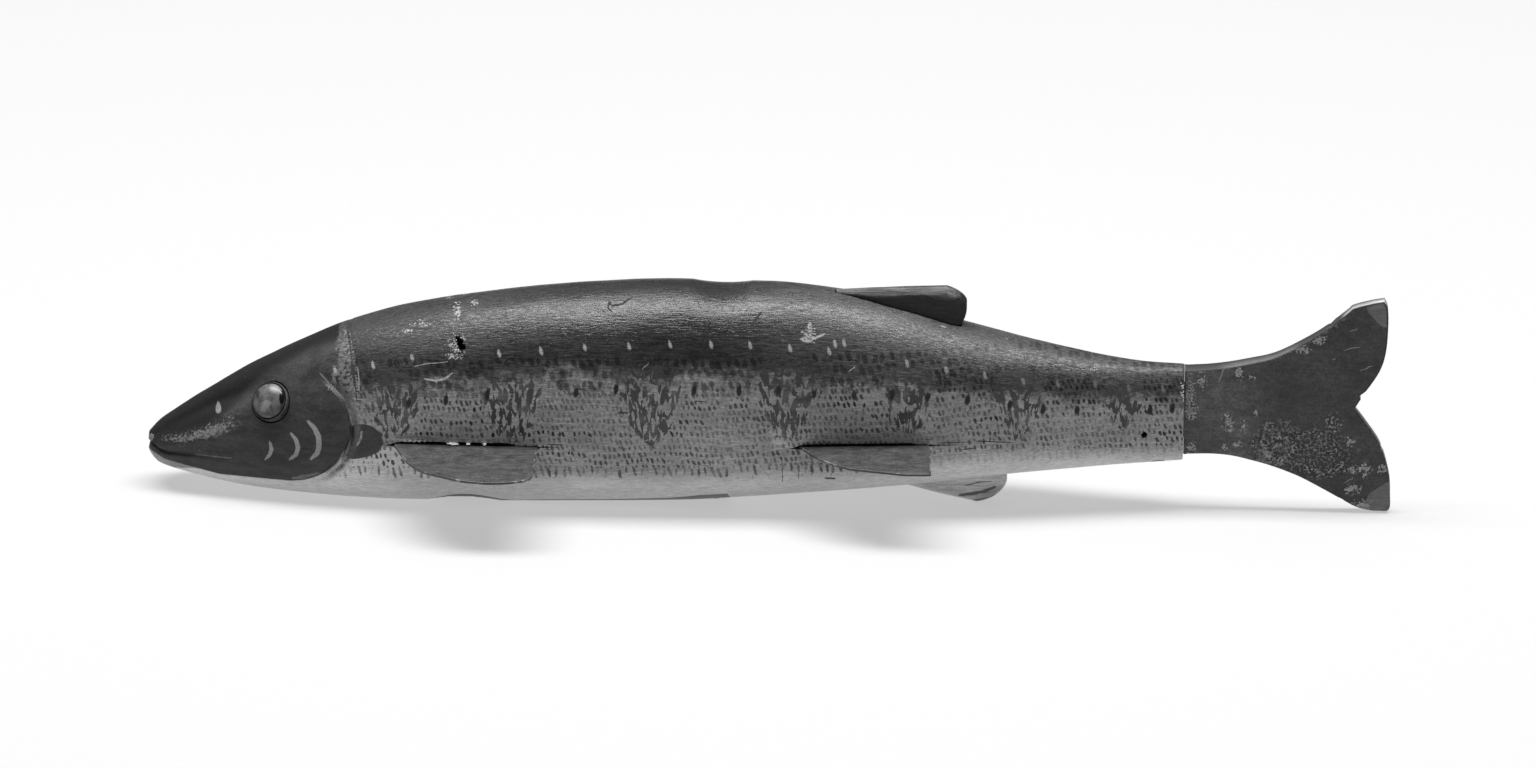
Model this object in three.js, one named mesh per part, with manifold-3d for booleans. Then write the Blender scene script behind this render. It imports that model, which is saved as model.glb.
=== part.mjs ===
// A carved and painted wooden fish with sheet-metal side fins, a wooden tail and a weight in its belly.
// Millimetres, +Z up. The snout points along -X, the left flank faces -Y and the belly's flat lies on z = 0.
import * as THREE from 'three';
import { mergeVertices } from 'three/addons/utils/BufferGeometryUtils.js';
import Module from 'manifold-3d';

const wasm = await Module();
wasm.setup();

// Straight steps from one point of a smooth outline or route to the next
const splineSteps = 3;
const slopeStep = 0.5;
const mergeDistance = 1e-4;

// Clearance between any two pieces that meet
const fitGap = 0.3;

// The carved body. Its lines give shares of the body's length, each with a share of its height or half width.
const bodyLength = 208.5;
const bodyHeight = 45.2;
const bodyHalfWidth = 16.2;
const backLine = [
  [0, 0.243], [0.01, 0.293], [0.025, 0.344], [0.05, 0.424], [0.1, 0.565], [0.15, 0.687], [0.2, 0.785],
  [0.25, 0.855], [0.32, 0.917], [0.42, 0.973], [0.52, 1], [0.6, 0.999], [0.67, 0.972], [0.73, 0.912],
  [0.78, 0.846], [0.86, 0.755], [0.93, 0.693], [0.97, 0.672], [1, 0.667],
];
const bellyLine = [
  [0, 0.152], [0.01, 0.102], [0.025, 0.077], [0.05, 0.048], [0.1, 0.008], [0.15, -0.013], [0.25, -0.036],
  [0.42, -0.018], [0.52, -0.004], [0.6, 0.025], [0.67, 0.056], [0.78, 0.117], [0.86, 0.165], [1, 0.228],
];
const planLine = [
  [0, 0.1], [0.002, 0.17], [0.006, 0.24], [0.012, 0.3], [0.02, 0.36], [0.05, 0.47], [0.12, 0.67],
  [0.2, 0.85], [0.32, 0.975], [0.42, 1], [0.5, 0.98], [0.6, 0.93], [0.7, 0.85], [0.8, 0.73],
  [0.88, 0.54], [0.95, 0.345], [1, 0.26],
];
const widestLine = [[0, 0.45], [0.03, 0.4], [0.12, 0.38], [0.2, 0.42], [0.3, 0.47], [0.6, 0.5], [1, 0.5]];
const squareLine = [[0, 2], [0.25, 2.1], [0.75, 2.2], [1, 2.6]];
const bodyRings = 48;
const bodySides = 36;
const ringCrowding = 1.6;

// The sides of the snout are hollowed above the upper jaw
const hollowLine = [[0, 0], [0.015, 0.12], [0.05, 0.2], [0.1, 0.16], [0.15, 0.05], [0.18, 0], [1, 0]];
const hollowLevel = 0.86;
const hollowSpread = 0.1;

// Cuts carved in the body's surface. Grooves follow points of share of length and share of bodyHeight.
const grooveSides = 6;
const gillGrooveRadius = 0.8;
const gillRoute = [
  [0.173, 0.605], [0.192, 0.54], [0.203, 0.465], [0.207, 0.395], [0.206, 0.34], [0.2, 0.27], [0.191, 0.215],
  [0.18, 0.165], [0.169, 0.135], [0.158, 0.112], [0.144, 0.097],
];
const mouthGrooveRadius = 0.55;
const mouthLength = 18;
const mouthLevel = 8.4;
const mouthSlope = 0.04;
const mouthTipRise = 0.8;
const mouthTipLength = 2;
const mouthSteps = 8;
const bellyScoop = { at: 64.5, length: 14.4, depth: 0.6 };
const backScoop = { at: 116, length: 12, depth: 1.35 };
const tailNailHole = { at: 200.8, level: 16.8, diameter: 1.3, depth: 1.8 };
const flankHole = { at: 64.7, level: 35.2, diameter: 1.8, depth: 4 };
const holeSides = 10;
const scoopSides = 96;

// Domed eyes, set in round sockets square to the side of the head
const eyeDiameter = 8;
const eyeAt = 26.1;
const eyeLevel = 21;
const eyeSeat = 2;
const eyeRim = 0.4;
const eyeDome = 1.8;
const eyeSides = 28;
const eyeDomeSteps = 6;

// Sheet-metal side fins in saw kerfs. Outlines give shares of a fin's length and of its reach off the flank.
const sheetThickness = 0.5;
const kerfSlack = 0.25;
const kerfDepth = 6;
const kerfLead = 0.7;
const pectoral = {
  at: 51.7, length: 29.4, reach: 20.3, level: 14.3, pitch: 0.8, overrun: 3.2,
  edge: [
    [0, 0], [0.12, 0.45], [0.25, 0.73], [0.38, 0.87], [0.52, 0.97], [0.67, 1], [0.82, 0.985], [0.94, 0.94],
    [0.99, 0.87],
  ],
  corner: [1, 0.79],
  heel: 0.97,
};
const pelvic = {
  at: 132.5, length: 26.9, reach: 16, level: 15.4, pitch: 0.8, overrun: 3,
  edge: [[0, 0.05], [0.16, 0.48], [0.36, 0.75], [0.5, 0.85], [0.63, 0.93], [0.8, 1]],
  corner: [1, 0.965],
  heel: 0.95,
};

// Carved fins let into the back and the underside. Each rises off the body from its front to its crest, in a
// straight line where riseSquare is 1, and is rounded behind it; its thickness follows shares of its length.
const carvedFinThickness = 4;
const carvedFinRoot = 2;
const carvedFinStations = 16;
const rootBevel = 0.2;
const bevelShare = 0.4;
const tipFacet = 0.995;
const dorsal = {
  at: 139, length: 26.1, frontRise: 0.4, crestRise: 7, crest: 0.84, tipRise: 4.6, bevel: 1.5,
  riseSquare: 1.18, outerSquare: 2.2, heelSquare: 2,
};
const anal = {
  at: 151.5, length: 22, frontRise: 0.2, crestRise: 5.6, crest: 0.72, tipRise: 1.2, bevel: 1,
  riseSquare: 1, outerSquare: 2, heelSquare: 4,
};
const thicknessLine = [[0, 0.4], [0.45, 1], [0.85, 1], [1, 0.6]];

// The tail: a forked plate, thinner towards its tips, with a tongue in a slot in the body's end.
// Lobe lines give shares of the tail's length, each with a share of the lobe's rise or drop.
const tailLength = 41.5;
const tailThickness = 4.2;
const tailTipThickness = 2.5;
const tailBevel = 0.4;
const tailStep = 1.6;
const tailTopStep = 0.6;
const tailRise = 15.2;
const tailDrop = 11.4;
const tailForkAt = 0.817;
const tailForkLevel = 22;
const upperLobe = [
  [0, 0], [0.12, 0.028], [0.22, 0.068], [0.31, 0.12], [0.41, 0.188], [0.5, 0.303], [0.65, 0.556],
  [0.77, 0.828], [0.8, 0.9], [0.89, 0.972], [0.945, 1],
];
const upperRear = [[0.962, 0.89], [0.966, 0.64], [0.959, 0.3], [0.932, 0.03], [0.862, -0.28]];
const lowerRear = [[0.876, 0.61], [0.948, 0.21], [0.992, -0.32], [1, -0.66]];
const lowerLobe = [
  [0.998, -0.97], [0.945, -1], [0.9, -0.99], [0.836, -0.93], [0.765, -0.79], [0.665, -0.585], [0.55, -0.365],
  [0.42, -0.19], [0.32, -0.09], [0.23, -0.015], [0.13, 0.014], [0, 0],
];
const tongueLength = 12;
const tongueThickness = 3;
const tongueInset = 3.5;

// The weight, a tapered inlay flush with the belly's flat
const weightAt = 72;
const weightLength = 44.5;
const weightHalfWidth = 4.2;
const weightRearHalfWidth = 3;
const weightDepth = 8;
const weightCorner = 1.5;

const woodFinish = { roughness: 0.4, metalness: 0 };
const bodyPaint = new THREE.MeshStandardMaterial({ color: 0x6a6a68, ...woodFinish });
const tailPaint = new THREE.MeshStandardMaterial({ color: 0x484848, ...woodFinish });
const dorsalPaint = new THREE.MeshStandardMaterial({ color: 0x3c3c3c, ...woodFinish });
const analPaint = new THREE.MeshStandardMaterial({ color: 0x9a9a98, ...woodFinish });
const finPaint = new THREE.MeshStandardMaterial({ color: 0x666666, roughness: 0.45, metalness: 0.1 });
const lead = new THREE.MeshStandardMaterial({ color: 0x6e7074, roughness: 0.55, metalness: 0.9 });
const eyeGloss = new THREE.MeshStandardMaterial({ color: 0x4a4a4a, roughness: 0.1, metalness: 0 });

// Monotone cubic through points of [share, value], whose slopes never overshoot
function along(points, share) {
  const last = points.length - 1;
  const at = Math.min(Math.max(share, points[0][0]), points[last][0]);
  let span = 0;
  while (span < last - 1 && at > points[span + 1][0]) span += 1;
  const width = (i) => points[i + 1][0] - points[i][0];
  const slope = (i) => (points[i + 1][1] - points[i][1]) / width(i);
  const tangent = (i) => {
    if (i === 0) return slope(0);
    if (i === last) return slope(last - 1);
    if (slope(i - 1) * slope(i) <= 0) return 0;
    const before = 2 * width(i) + width(i - 1);
    const after = width(i) + 2 * width(i - 1);
    return (before + after) / (before / slope(i - 1) + after / slope(i));
  };
  const t = (at - points[span][0]) / width(span);
  const start = (1 + 2 * t) * (1 - t) ** 2 * points[span][1] + t * t * (3 - 2 * t) * points[span + 1][1];
  const bend = t * (1 - t) ** 2 * tangent(span) - t * t * (1 - t) * tangent(span + 1);
  return start + bend * width(span);
}

const backAt = (x) => along(backLine, x / bodyLength) * bodyHeight;
const bellyAt = (x) => along(bellyLine, x / bodyLength) * bodyHeight;

// The section's measures at a distance from the snout
function sectionAt(x) {
  const share = x / bodyLength;
  const top = backAt(x);
  const bottom = bellyAt(x);
  return {
    top,
    bottom,
    middle: bottom + along(widestLine, share) * (top - bottom),
    half: along(planLine, share) * bodyHalfWidth,
    square: along(squareLine, share),
    hollow: along(hollowLine, share),
  };
}

function hollowed(section, y, z) {
  const level = (z - section.bottom) / (section.top - section.bottom);
  return y * (1 - section.hollow * Math.exp(-(((level - hollowLevel) / hollowSpread) ** 2)));
}

// A point of the body's skin by its angle round the section, clamped to the flat of the belly
function skinPoint(x, angle) {
  const section = sectionAt(x);
  const power = 2 / section.square;
  const across = Math.sign(Math.cos(angle)) * Math.abs(Math.cos(angle)) ** power;
  const up = Math.sign(Math.sin(angle)) * Math.abs(Math.sin(angle)) ** power;
  const reach = up >= 0 ? section.top - section.middle : section.middle - section.bottom;
  const z = section.middle + reach * up;
  return [x, hollowed(section, section.half * across, z), Math.max(z, 0)];
}

// The body's half width at a distance from the snout and a height
function flankAt(x, z) {
  const section = sectionAt(x);
  const reach = z >= section.middle ? section.top - section.middle : section.middle - section.bottom;
  const up = Math.min(Math.abs(z - section.middle) / reach, 1);
  return hollowed(section, section.half * (1 - up ** section.square) ** (1 / section.square), z);
}

// The place and outward direction of the skin on one side, as a matrix whose Y axis points outwards
function flankFrame(x, z, side) {
  const alongSlope = (flankAt(x + slopeStep, z) - flankAt(x - slopeStep, z)) / (2 * slopeStep);
  const upSlope = (flankAt(x, z + slopeStep) - flankAt(x, z - slopeStep)) / (2 * slopeStep);
  const outward = new THREE.Vector3(-alongSlope, side, -upSlope).normalize();
  const turn = new THREE.Quaternion().setFromUnitVectors(new THREE.Vector3(0, 1, 0), outward);
  const frame = new THREE.Matrix4().makeRotationFromQuaternion(turn);
  return frame.setPosition(x, side * flankAt(x, z), z);
}

function toSolid(geometry) {
  const bare = geometry.clone();
  bare.deleteAttribute('normal');
  bare.deleteAttribute('uv');
  const merged = mergeVertices(bare, mergeDistance);
  const vertProperties = new Float32Array(merged.attributes.position.array);
  const triVerts = new Uint32Array(merged.index.array);
  return new wasm.Manifold(new wasm.Mesh({ numProp: 3, vertProperties, triVerts }));
}

function toGeometry(solid) {
  const cut = solid.getMesh();
  const geometry = new THREE.BufferGeometry();
  geometry.setAttribute('position', new THREE.BufferAttribute(new Float32Array(cut.vertProperties), 3));
  geometry.setIndex(new THREE.BufferAttribute(new Uint32Array(cut.triVerts), 1));
  geometry.computeVertexNormals();
  return geometry;
}

function piece(name, geometry, material) {
  const mesh = new THREE.Mesh(geometry, material);
  mesh.name = name;
  return mesh;
}

// A closed skin over rings of as many points, each ring turning anticlockwise seen from +X
function loft(rings) {
  const sides = rings[0].length;
  const end = (rings.length - 1) * sides;
  const triangles = [];
  for (let i = 0; i < sides; i += 1) {
    const next = (i + 1) % sides;
    for (let near = 0; near < end; near += sides) {
      const far = near + sides;
      triangles.push(near + i, near + next, far + next, near + i, far + next, far + i);
    }
    if (i > 0 && next > 0) {
      triangles.push(0, next, i, end, end + i, end + next);
    }
  }
  const geometry = new THREE.BufferGeometry();
  geometry.setAttribute('position', new THREE.Float32BufferAttribute(rings.flat(2), 3));
  geometry.setIndex(triangles);
  return geometry;
}

function bodyLoft() {
  const rings = [];
  for (let ring = 0; ring <= bodyRings; ring += 1) {
    const x = bodyLength * (ring / bodyRings) ** ringCrowding;
    const angles = Array.from({ length: bodySides }, (_, i) => (2 * Math.PI * i) / bodySides);
    rings.push(angles.map((angle) => skinPoint(x, angle)));
  }
  return loft(rings);
}

// A tube to cut a groove with, along points in the skin
function grooveCut(points, radius) {
  const section = new THREE.Shape();
  for (let i = 0; i < grooveSides; i += 1) {
    const angle = (2 * Math.PI * i) / grooveSides;
    const corner = [radius * Math.cos(angle), radius * Math.sin(angle)];
    if (i === 0) section.moveTo(...corner);
    else section.lineTo(...corner);
  }
  section.closePath();
  const route = new THREE.CatmullRomCurve3(points.map((p) => new THREE.Vector3(...p)));
  const steps = splineSteps * (points.length - 1);
  return toSolid(new THREE.ExtrudeGeometry(section, { steps, extrudePath: route }));
}

function gillCut(side) {
  const route = gillRoute.map(([back, up]) => {
    const x = back * bodyLength;
    const z = up * bodyHeight;
    return [x, side * flankAt(x, z), z];
  });
  return grooveCut(route, gillGrooveRadius);
}

function mouthCut() {
  const half = [];
  for (let i = 0; i <= mouthSteps; i += 1) {
    const x = mouthLength * (i / mouthSteps) ** 2;
    const z = mouthLevel + mouthSlope * x + mouthTipRise * Math.exp(-x / mouthTipLength);
    half.push([x, flankAt(x, z), z]);
  }
  const mirrored = half.map(([x, y, z]) => [x, -y, z]).reverse();
  return grooveCut([...mirrored, ...half], mouthGrooveRadius);
}

// A cylinder laid across the body that leaves a shallow scoop; up is 1 in the back and -1 in the belly
function scoopCut({ at, length, depth }, level, up) {
  const radius = (length ** 2 / 4 + depth ** 2) / (2 * depth);
  const geometry = new THREE.CylinderGeometry(radius, radius, 2 * bodyHalfWidth, scoopSides);
  geometry.translate(at, 0, 0);
  geometry.translate(0, 0, level + up * (radius - depth));
  return toSolid(geometry);
}

// A round hole square to the skin of the left flank
function holeCut({ at, level, diameter, depth }) {
  const geometry = new THREE.CylinderGeometry(diameter / 2, diameter / 2, 2 * depth, holeSides);
  geometry.applyMatrix4(flankFrame(at, level, -1));
  return toSolid(geometry);
}

function socketCut(side) {
  const radius = eyeDiameter / 2 + fitGap;
  const depth = eyeSeat + fitGap;
  const geometry = new THREE.CylinderGeometry(radius, radius, 3 * depth, eyeSides);
  geometry.translate(0, depth / 2, 0);
  geometry.applyMatrix4(flankFrame(eyeAt, eyeLevel, side));
  return toSolid(geometry);
}

function eyeGeometry() {
  const radius = eyeDiameter / 2;
  const profile = [new THREE.Vector2(0, -eyeSeat), new THREE.Vector2(radius, -eyeSeat)];
  for (let i = 0; i <= eyeDomeSteps; i += 1) {
    const angle = (Math.PI / 2) * (i / eyeDomeSteps);
    const across = i === eyeDomeSteps ? 0 : radius * Math.cos(angle);
    profile.push(new THREE.Vector2(across, eyeRim + eyeDome * Math.sin(angle)));
  }
  return new THREE.LatheGeometry(profile, eyeSides);
}

// A side fin's place: its root line's half width, turned about the front of its root
const finFlank = (fin) => flankAt(fin.at + fin.length / 2, fin.level);

function finPlace(fin) {
  const place = new THREE.Matrix4().makeRotationY(-THREE.MathUtils.degToRad(fin.pitch));
  return place.setPosition(fin.at, 0, fin.level);
}

function sheetFin(name, fin, side) {
  const flank = finFlank(fin);
  const root = flank - kerfDepth + fitGap;
  const outer = (share) => side * (flank + share * fin.reach);
  const shape = new THREE.Shape();
  shape.moveTo(0, side * root);
  shape.lineTo(0, outer(fin.edge[0][1]));
  shape.splineThru(fin.edge.slice(1).map(([u, v]) => new THREE.Vector2(u * fin.length, outer(v))));
  shape.lineTo(fin.corner[0] * fin.length, outer(fin.corner[1]));
  shape.lineTo(fin.heel * fin.length, side * root);
  shape.closePath();
  const sheet = { depth: sheetThickness, bevelEnabled: false, curveSegments: splineSteps };
  const geometry = new THREE.ExtrudeGeometry(shape, sheet);
  const mesh = piece(name, geometry, finPaint);
  mesh.applyMatrix4(finPlace(fin));
  return mesh;
}

function kerfCut(fin, side) {
  const tall = sheetThickness + 2 * fitGap + kerfSlack;
  const length = kerfLead + fin.length + fin.overrun;
  const inner = finFlank(fin) - kerfDepth;
  const outer = bodyHalfWidth + kerfDepth;
  const geometry = new THREE.BoxGeometry(length, outer - inner, tall);
  geometry.translate(length / 2 - kerfLead, (side * (inner + outer)) / 2, tall / 2 - fitGap);
  geometry.applyMatrix4(finPlace(fin));
  return toSolid(geometry);
}

// How far a carved fin stands off the body at a share of its length: its outer edge and its edge in the body
function carvedEdges(fin, share) {
  const climb = Math.min(share / fin.crest, 1) ** fin.riseSquare;
  const rising = fin.frontRise + (fin.crestRise - fin.frontRise) * climb;
  const past = Math.max(share - fin.crest, 0) / (1 - fin.crest);
  const shrink = (square) => (1 - past ** square) ** (1 / square);
  return {
    outer: past ? fin.tipRise + (fin.crestRise - fin.tipRise) * shrink(fin.outerSquare) : rising,
    inner: past ? fin.tipRise - (fin.tipRise + carvedFinRoot) * shrink(fin.heelSquare) : -carvedFinRoot,
  };
}

// A carved fin off a body line, grown on every side; up is 1 on the back and -1 underneath
function carvedFin(fin, lineAt, up, grow = 0) {
  const rings = [];
  for (let i = 0; i <= carvedFinStations; i += 1) {
    const share = Math.min(Math.sin((Math.PI / 2) * (i / carvedFinStations)), tipFacet);
    const { outer, inner } = carvedEdges(fin, share);
    const end = i === 0 ? -grow : i === carvedFinStations ? grow : 0;
    const x = fin.at + share * fin.length;
    const half = (along(thicknessLine, share) * carvedFinThickness) / 2 + grow;
    const ends = [lineAt(x) + up * (outer + grow), lineAt(x) + up * (inner - grow)];
    const room = bevelShare * Math.min(outer - inner, 2 * half);
    const bevels = [Math.min(fin.bevel, room), Math.min(rootBevel, room)];
    const [high, low] = up > 0 ? ends : [ends[1], ends[0]];
    const [highBevel, lowBevel] = up > 0 ? bevels : [bevels[1], bevels[0]];
    rings.push([
      [half, low + lowBevel], [half, high - highBevel], [half - highBevel, high], [highBevel - half, high],
      [-half, high - highBevel], [-half, low + lowBevel], [lowBevel - half, low], [half - lowBevel, low],
    ].map(([y, z]) => [x + end, y, z]));
  }
  return loft(rings);
}

// Extrudes an outline in X and Z to a plate centred on the fish's middle plane
function plate(outline, options) {
  const geometry = new THREE.ExtrudeGeometry(outline, options);
  geometry.computeBoundingBox();
  geometry.translate(0, 0, -(geometry.boundingBox.min.z + geometry.boundingBox.max.z) / 2);
  geometry.rotateX(Math.PI / 2);
  return geometry;
}

const tailRootTop = backAt(bodyLength) - tailTopStep;
const tailRootBottom = bellyAt(bodyLength) + tailStep;
const tailX = (share) => bodyLength + fitGap + share * (tailLength - fitGap);
const upperZ = (share) => tailRootTop + share * tailRise;
const lowerZ = (share) => tailRootBottom + share * tailDrop;

function tailGeometry() {
  const outline = new THREE.Shape();
  const upper = (points) => points.map(([u, v]) => new THREE.Vector2(tailX(u), upperZ(v)));
  const lower = (points) => points.map(([u, v]) => new THREE.Vector2(tailX(u), lowerZ(v)));
  outline.moveTo(tailX(0), tailRootTop);
  outline.splineThru(upper(upperLobe.slice(1)));
  outline.splineThru(upper(upperRear));
  outline.lineTo(tailX(tailForkAt), tailForkLevel);
  outline.splineThru(lower(lowerRear));
  outline.splineThru(lower(lowerLobe));
  outline.closePath();
  const geometry = plate(outline, {
    depth: tailThickness - 2 * tailBevel,
    bevelThickness: tailBevel,
    bevelSize: tailBevel,
    bevelOffset: -tailBevel,
    bevelSegments: 1,
    curveSegments: splineSteps,
  });
  const places = geometry.attributes.position;
  for (let i = 0; i < places.count; i += 1) {
    const share = (places.getX(i) - bodyLength) / tailLength;
    const thinner = 1 - share * (1 - tailTipThickness / tailThickness);
    places.setY(i, places.getY(i) * thinner);
  }
  const top = tailRootTop - tongueInset;
  const bottom = tailRootBottom + tongueInset;
  const lap = tongueThickness;
  const tongue = new THREE.BoxGeometry(tongueLength + lap, tongueThickness, top - bottom);
  tongue.translate(bodyLength - tongueLength / 2 + lap / 2, 0, (top + bottom) / 2);
  return toGeometry(toSolid(geometry).add(toSolid(tongue)));
}

function tongueSlotCut() {
  const top = tailRootTop - tongueInset + fitGap;
  const bottom = tailRootBottom + tongueInset - fitGap;
  const length = tongueLength + fitGap;
  const slot = new THREE.BoxGeometry(2 * length, tongueThickness + 2 * fitGap, top - bottom);
  slot.translate(bodyLength, 0, (top + bottom) / 2);
  return toSolid(slot);
}

// The weight's plan, grown on every side
function weightOutline(grow) {
  const front = weightAt - grow;
  const rear = weightAt + weightLength + grow;
  const wide = weightHalfWidth + grow;
  const narrow = weightRearHalfWidth + grow;
  const outline = new THREE.Shape();
  outline.moveTo(front + weightCorner, -wide);
  outline.lineTo(rear - weightCorner, -narrow);
  outline.quadraticCurveTo(rear, -narrow, rear, weightCorner - narrow);
  outline.lineTo(rear, narrow - weightCorner);
  outline.quadraticCurveTo(rear, narrow, rear - weightCorner, narrow);
  outline.lineTo(front + weightCorner, wide);
  outline.quadraticCurveTo(front, wide, front, wide - weightCorner);
  outline.lineTo(front, weightCorner - wide);
  outline.quadraticCurveTo(front, -wide, front + weightCorner, -wide);
  return outline;
}

function weightGeometry() {
  return new THREE.ExtrudeGeometry(weightOutline(0), { depth: weightDepth, bevelEnabled: false });
}

function weightRecessCut() {
  const depth = weightDepth + fitGap;
  const outline = weightOutline(fitGap);
  const geometry = new THREE.ExtrudeGeometry(outline, { depth: 2 * depth, bevelEnabled: false });
  geometry.translate(0, 0, -depth);
  return toSolid(geometry);
}

function bodyGeometry() {
  const cuts = [
    mouthCut(),
    scoopCut(bellyScoop, 0, -1),
    scoopCut(backScoop, backAt(backScoop.at), 1),
    holeCut(tailNailHole),
    holeCut(flankHole),
    toSolid(carvedFin(dorsal, backAt, 1, fitGap)),
    toSolid(carvedFin(anal, bellyAt, -1, fitGap)),
    tongueSlotCut(),
    weightRecessCut(),
  ];
  for (const side of [-1, 1]) {
    cuts.push(gillCut(side), socketCut(side), kerfCut(pectoral, side), kerfCut(pelvic, side));
  }
  return toGeometry(cuts.reduce((solid, cut) => solid.subtract(cut), toSolid(bodyLoft())));
}

function eye(name, side) {
  const mesh = piece(name, eyeGeometry(), eyeGloss);
  mesh.applyMatrix4(flankFrame(eyeAt, eyeLevel, side));
  return mesh;
}

// Moves the fish's middle, snout to tail tips, to x = 0
const fish = new THREE.Group();
fish.position.x = -(bodyLength + tailLength) / 2;
fish.add(
  piece('body', bodyGeometry(), bodyPaint),
  piece('belly_weight', weightGeometry(), lead),
  piece('tail', tailGeometry(), tailPaint),
  piece('dorsal_fin', carvedFin(dorsal, backAt, 1), dorsalPaint),
  piece('anal_fin', carvedFin(anal, bellyAt, -1), analPaint),
  sheetFin('pectoral_fin_left', pectoral, -1),
  sheetFin('pectoral_fin_right', pectoral, 1),
  sheetFin('pelvic_fin_left', pelvic, -1),
  sheetFin('pelvic_fin_right', pelvic, 1),
  eye('eye_left', -1),
  eye('eye_right', 1),
);

export default fish;
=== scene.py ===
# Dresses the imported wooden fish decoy: finer carving, painted wood, sheet fins, domed eyes and a lead weight.
# Shapes are in millimetres from the snout until finished() places them in the row frame, in metres.
# Pixels are those of the photograph, 1536 wide and 768 high.
import math

import bmesh
import bpy
import numpy as np
from mathutils import Matrix, Vector, noise


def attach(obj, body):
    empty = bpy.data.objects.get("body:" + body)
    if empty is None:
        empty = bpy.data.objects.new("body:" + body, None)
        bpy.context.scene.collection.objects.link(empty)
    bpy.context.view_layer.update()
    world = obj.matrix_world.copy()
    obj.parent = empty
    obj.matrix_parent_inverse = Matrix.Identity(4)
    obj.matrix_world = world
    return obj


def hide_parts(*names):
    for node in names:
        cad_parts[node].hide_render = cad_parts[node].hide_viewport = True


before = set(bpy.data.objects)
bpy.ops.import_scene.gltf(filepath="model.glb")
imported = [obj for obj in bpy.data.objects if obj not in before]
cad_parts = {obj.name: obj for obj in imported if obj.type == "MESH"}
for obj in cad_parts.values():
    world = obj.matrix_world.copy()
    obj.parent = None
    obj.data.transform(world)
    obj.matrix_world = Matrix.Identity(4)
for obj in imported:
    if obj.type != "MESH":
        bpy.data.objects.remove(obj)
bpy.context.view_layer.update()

MM = 0.001

# The photograph's camera
IMAGE_WIDTH, IMAGE_HEIGHT = 1536, 768
SENSOR = 36
LENS = 158
CAMERA_AZIMUTH, CAMERA_ELEVATION = math.radians(4), math.radians(19.5)
CAMERA_DISTANCE = 1.35
CAMERA_AIM = Vector((0.0003, 0, 0.024))
PIXEL = 0.2006

# The body's form, as in the part's source
FIT_GAP = 0.3
BODY_LENGTH = 208.5
BODY_HEIGHT = 45.2
BODY_HALF_WIDTH = 16.2
BACK_LINE = [
    (0, 0.243), (0.01, 0.293), (0.025, 0.344), (0.05, 0.424), (0.1, 0.565), (0.15, 0.687), (0.2, 0.785),
    (0.25, 0.855), (0.32, 0.917), (0.42, 0.973), (0.52, 1), (0.6, 0.999), (0.67, 0.972), (0.73, 0.912),
    (0.78, 0.846), (0.86, 0.755), (0.93, 0.693), (0.97, 0.672), (1, 0.667),
]
BELLY_LINE = [
    (0, 0.152), (0.01, 0.102), (0.025, 0.077), (0.05, 0.048), (0.1, 0.008), (0.15, -0.013), (0.25, -0.036),
    (0.42, -0.018), (0.52, -0.004), (0.6, 0.025), (0.67, 0.056), (0.78, 0.117), (0.86, 0.165), (1, 0.228),
]
PLAN_LINE = [
    (0, 0.1), (0.002, 0.17), (0.006, 0.24), (0.012, 0.3), (0.02, 0.36), (0.05, 0.47), (0.12, 0.67),
    (0.2, 0.85), (0.32, 0.975), (0.42, 1), (0.5, 0.98), (0.6, 0.93), (0.7, 0.85), (0.8, 0.73),
    (0.88, 0.54), (0.95, 0.345), (1, 0.26),
]
WIDEST_LINE = [(0, 0.45), (0.03, 0.4), (0.12, 0.38), (0.2, 0.42), (0.3, 0.47), (0.6, 0.5), (1, 0.5)]
SQUARE_LINE = [(0, 2), (0.25, 2.1), (0.75, 2.2), (1, 2.6)]
HOLLOW_LINE = [(0, 0), (0.015, 0.12), (0.05, 0.2), (0.1, 0.16), (0.15, 0.05), (0.18, 0), (1, 0)]
HOLLOW_LEVEL = 0.86
HOLLOW_SPREAD = 0.1

BELLY_SCOOP = {"at": 64.5, "length": 15, "depth": 1.8}
BACK_SCOOP = {"at": 116, "length": 12, "depth": 0.85, "spread": 7}
TAIL_NAIL_HOLE = {"at": 200.8, "level": 16.8, "diameter": 1.3, "depth": 1.8}
FLANK_HOLE = [(64.5, 35.6, 0.64, 1.55), (64.9, 34.6, 0.8, 1.2)]
FLANK_HOLE_DEPTH = 4

EYE_DIAMETER = 8
EYE_AT = 26.1
EYE_LEVEL = 21
EYE_SEAT = 2
EYE_RIM = 0.4
EYE_DOME = 1.8
EYE_DOME_INSET = 0.45
EYE_DOME_STEPS = 15
EYE_RIM_PROFILE = [(0.02, -0.1), (0.08, 0), (0.18, 0.06), (0.3, 0), (0.38, -0.12), (0.43, -0.12)]

SHEET_THICKNESS = 0.5
KERF_SLACK = 0.25
KERF_DEPTH = 6
KERF_TAPER = 2.2
KERF_STEPS = 160
KERF_SKIN = 15.4
FILLER_LEVEL = 0.86
PECTORAL = {
    "at": 51.7, "length": 29.4, "reach": 20.3, "level": 14.3, "pitch": 0.8,
    "overrun": 3.2, "tight": 6.5, "opening": 0.22,
    "edge": [
        (0, 0), (0.12, 0.45), (0.25, 0.73), (0.38, 0.87), (0.52, 0.97), (0.67, 1), (0.82, 0.985), (0.94, 0.94),
        (0.99, 0.87),
    ],
    "corner": (1, 0.79), "heel": 0.97,
}
PELVIC = {
    "at": 132.5, "length": 26.9, "reach": 16, "level": 15.4, "pitch": 0.8,
    "overrun": 6, "tight": 4, "opening": 0.08,
    "edge": [(0, 0.05), (0.16, 0.48), (0.36, 0.75), (0.5, 0.85), (0.63, 0.93), (0.8, 1)],
    "corner": (1, 0.965), "heel": 0.95,
}

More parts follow.
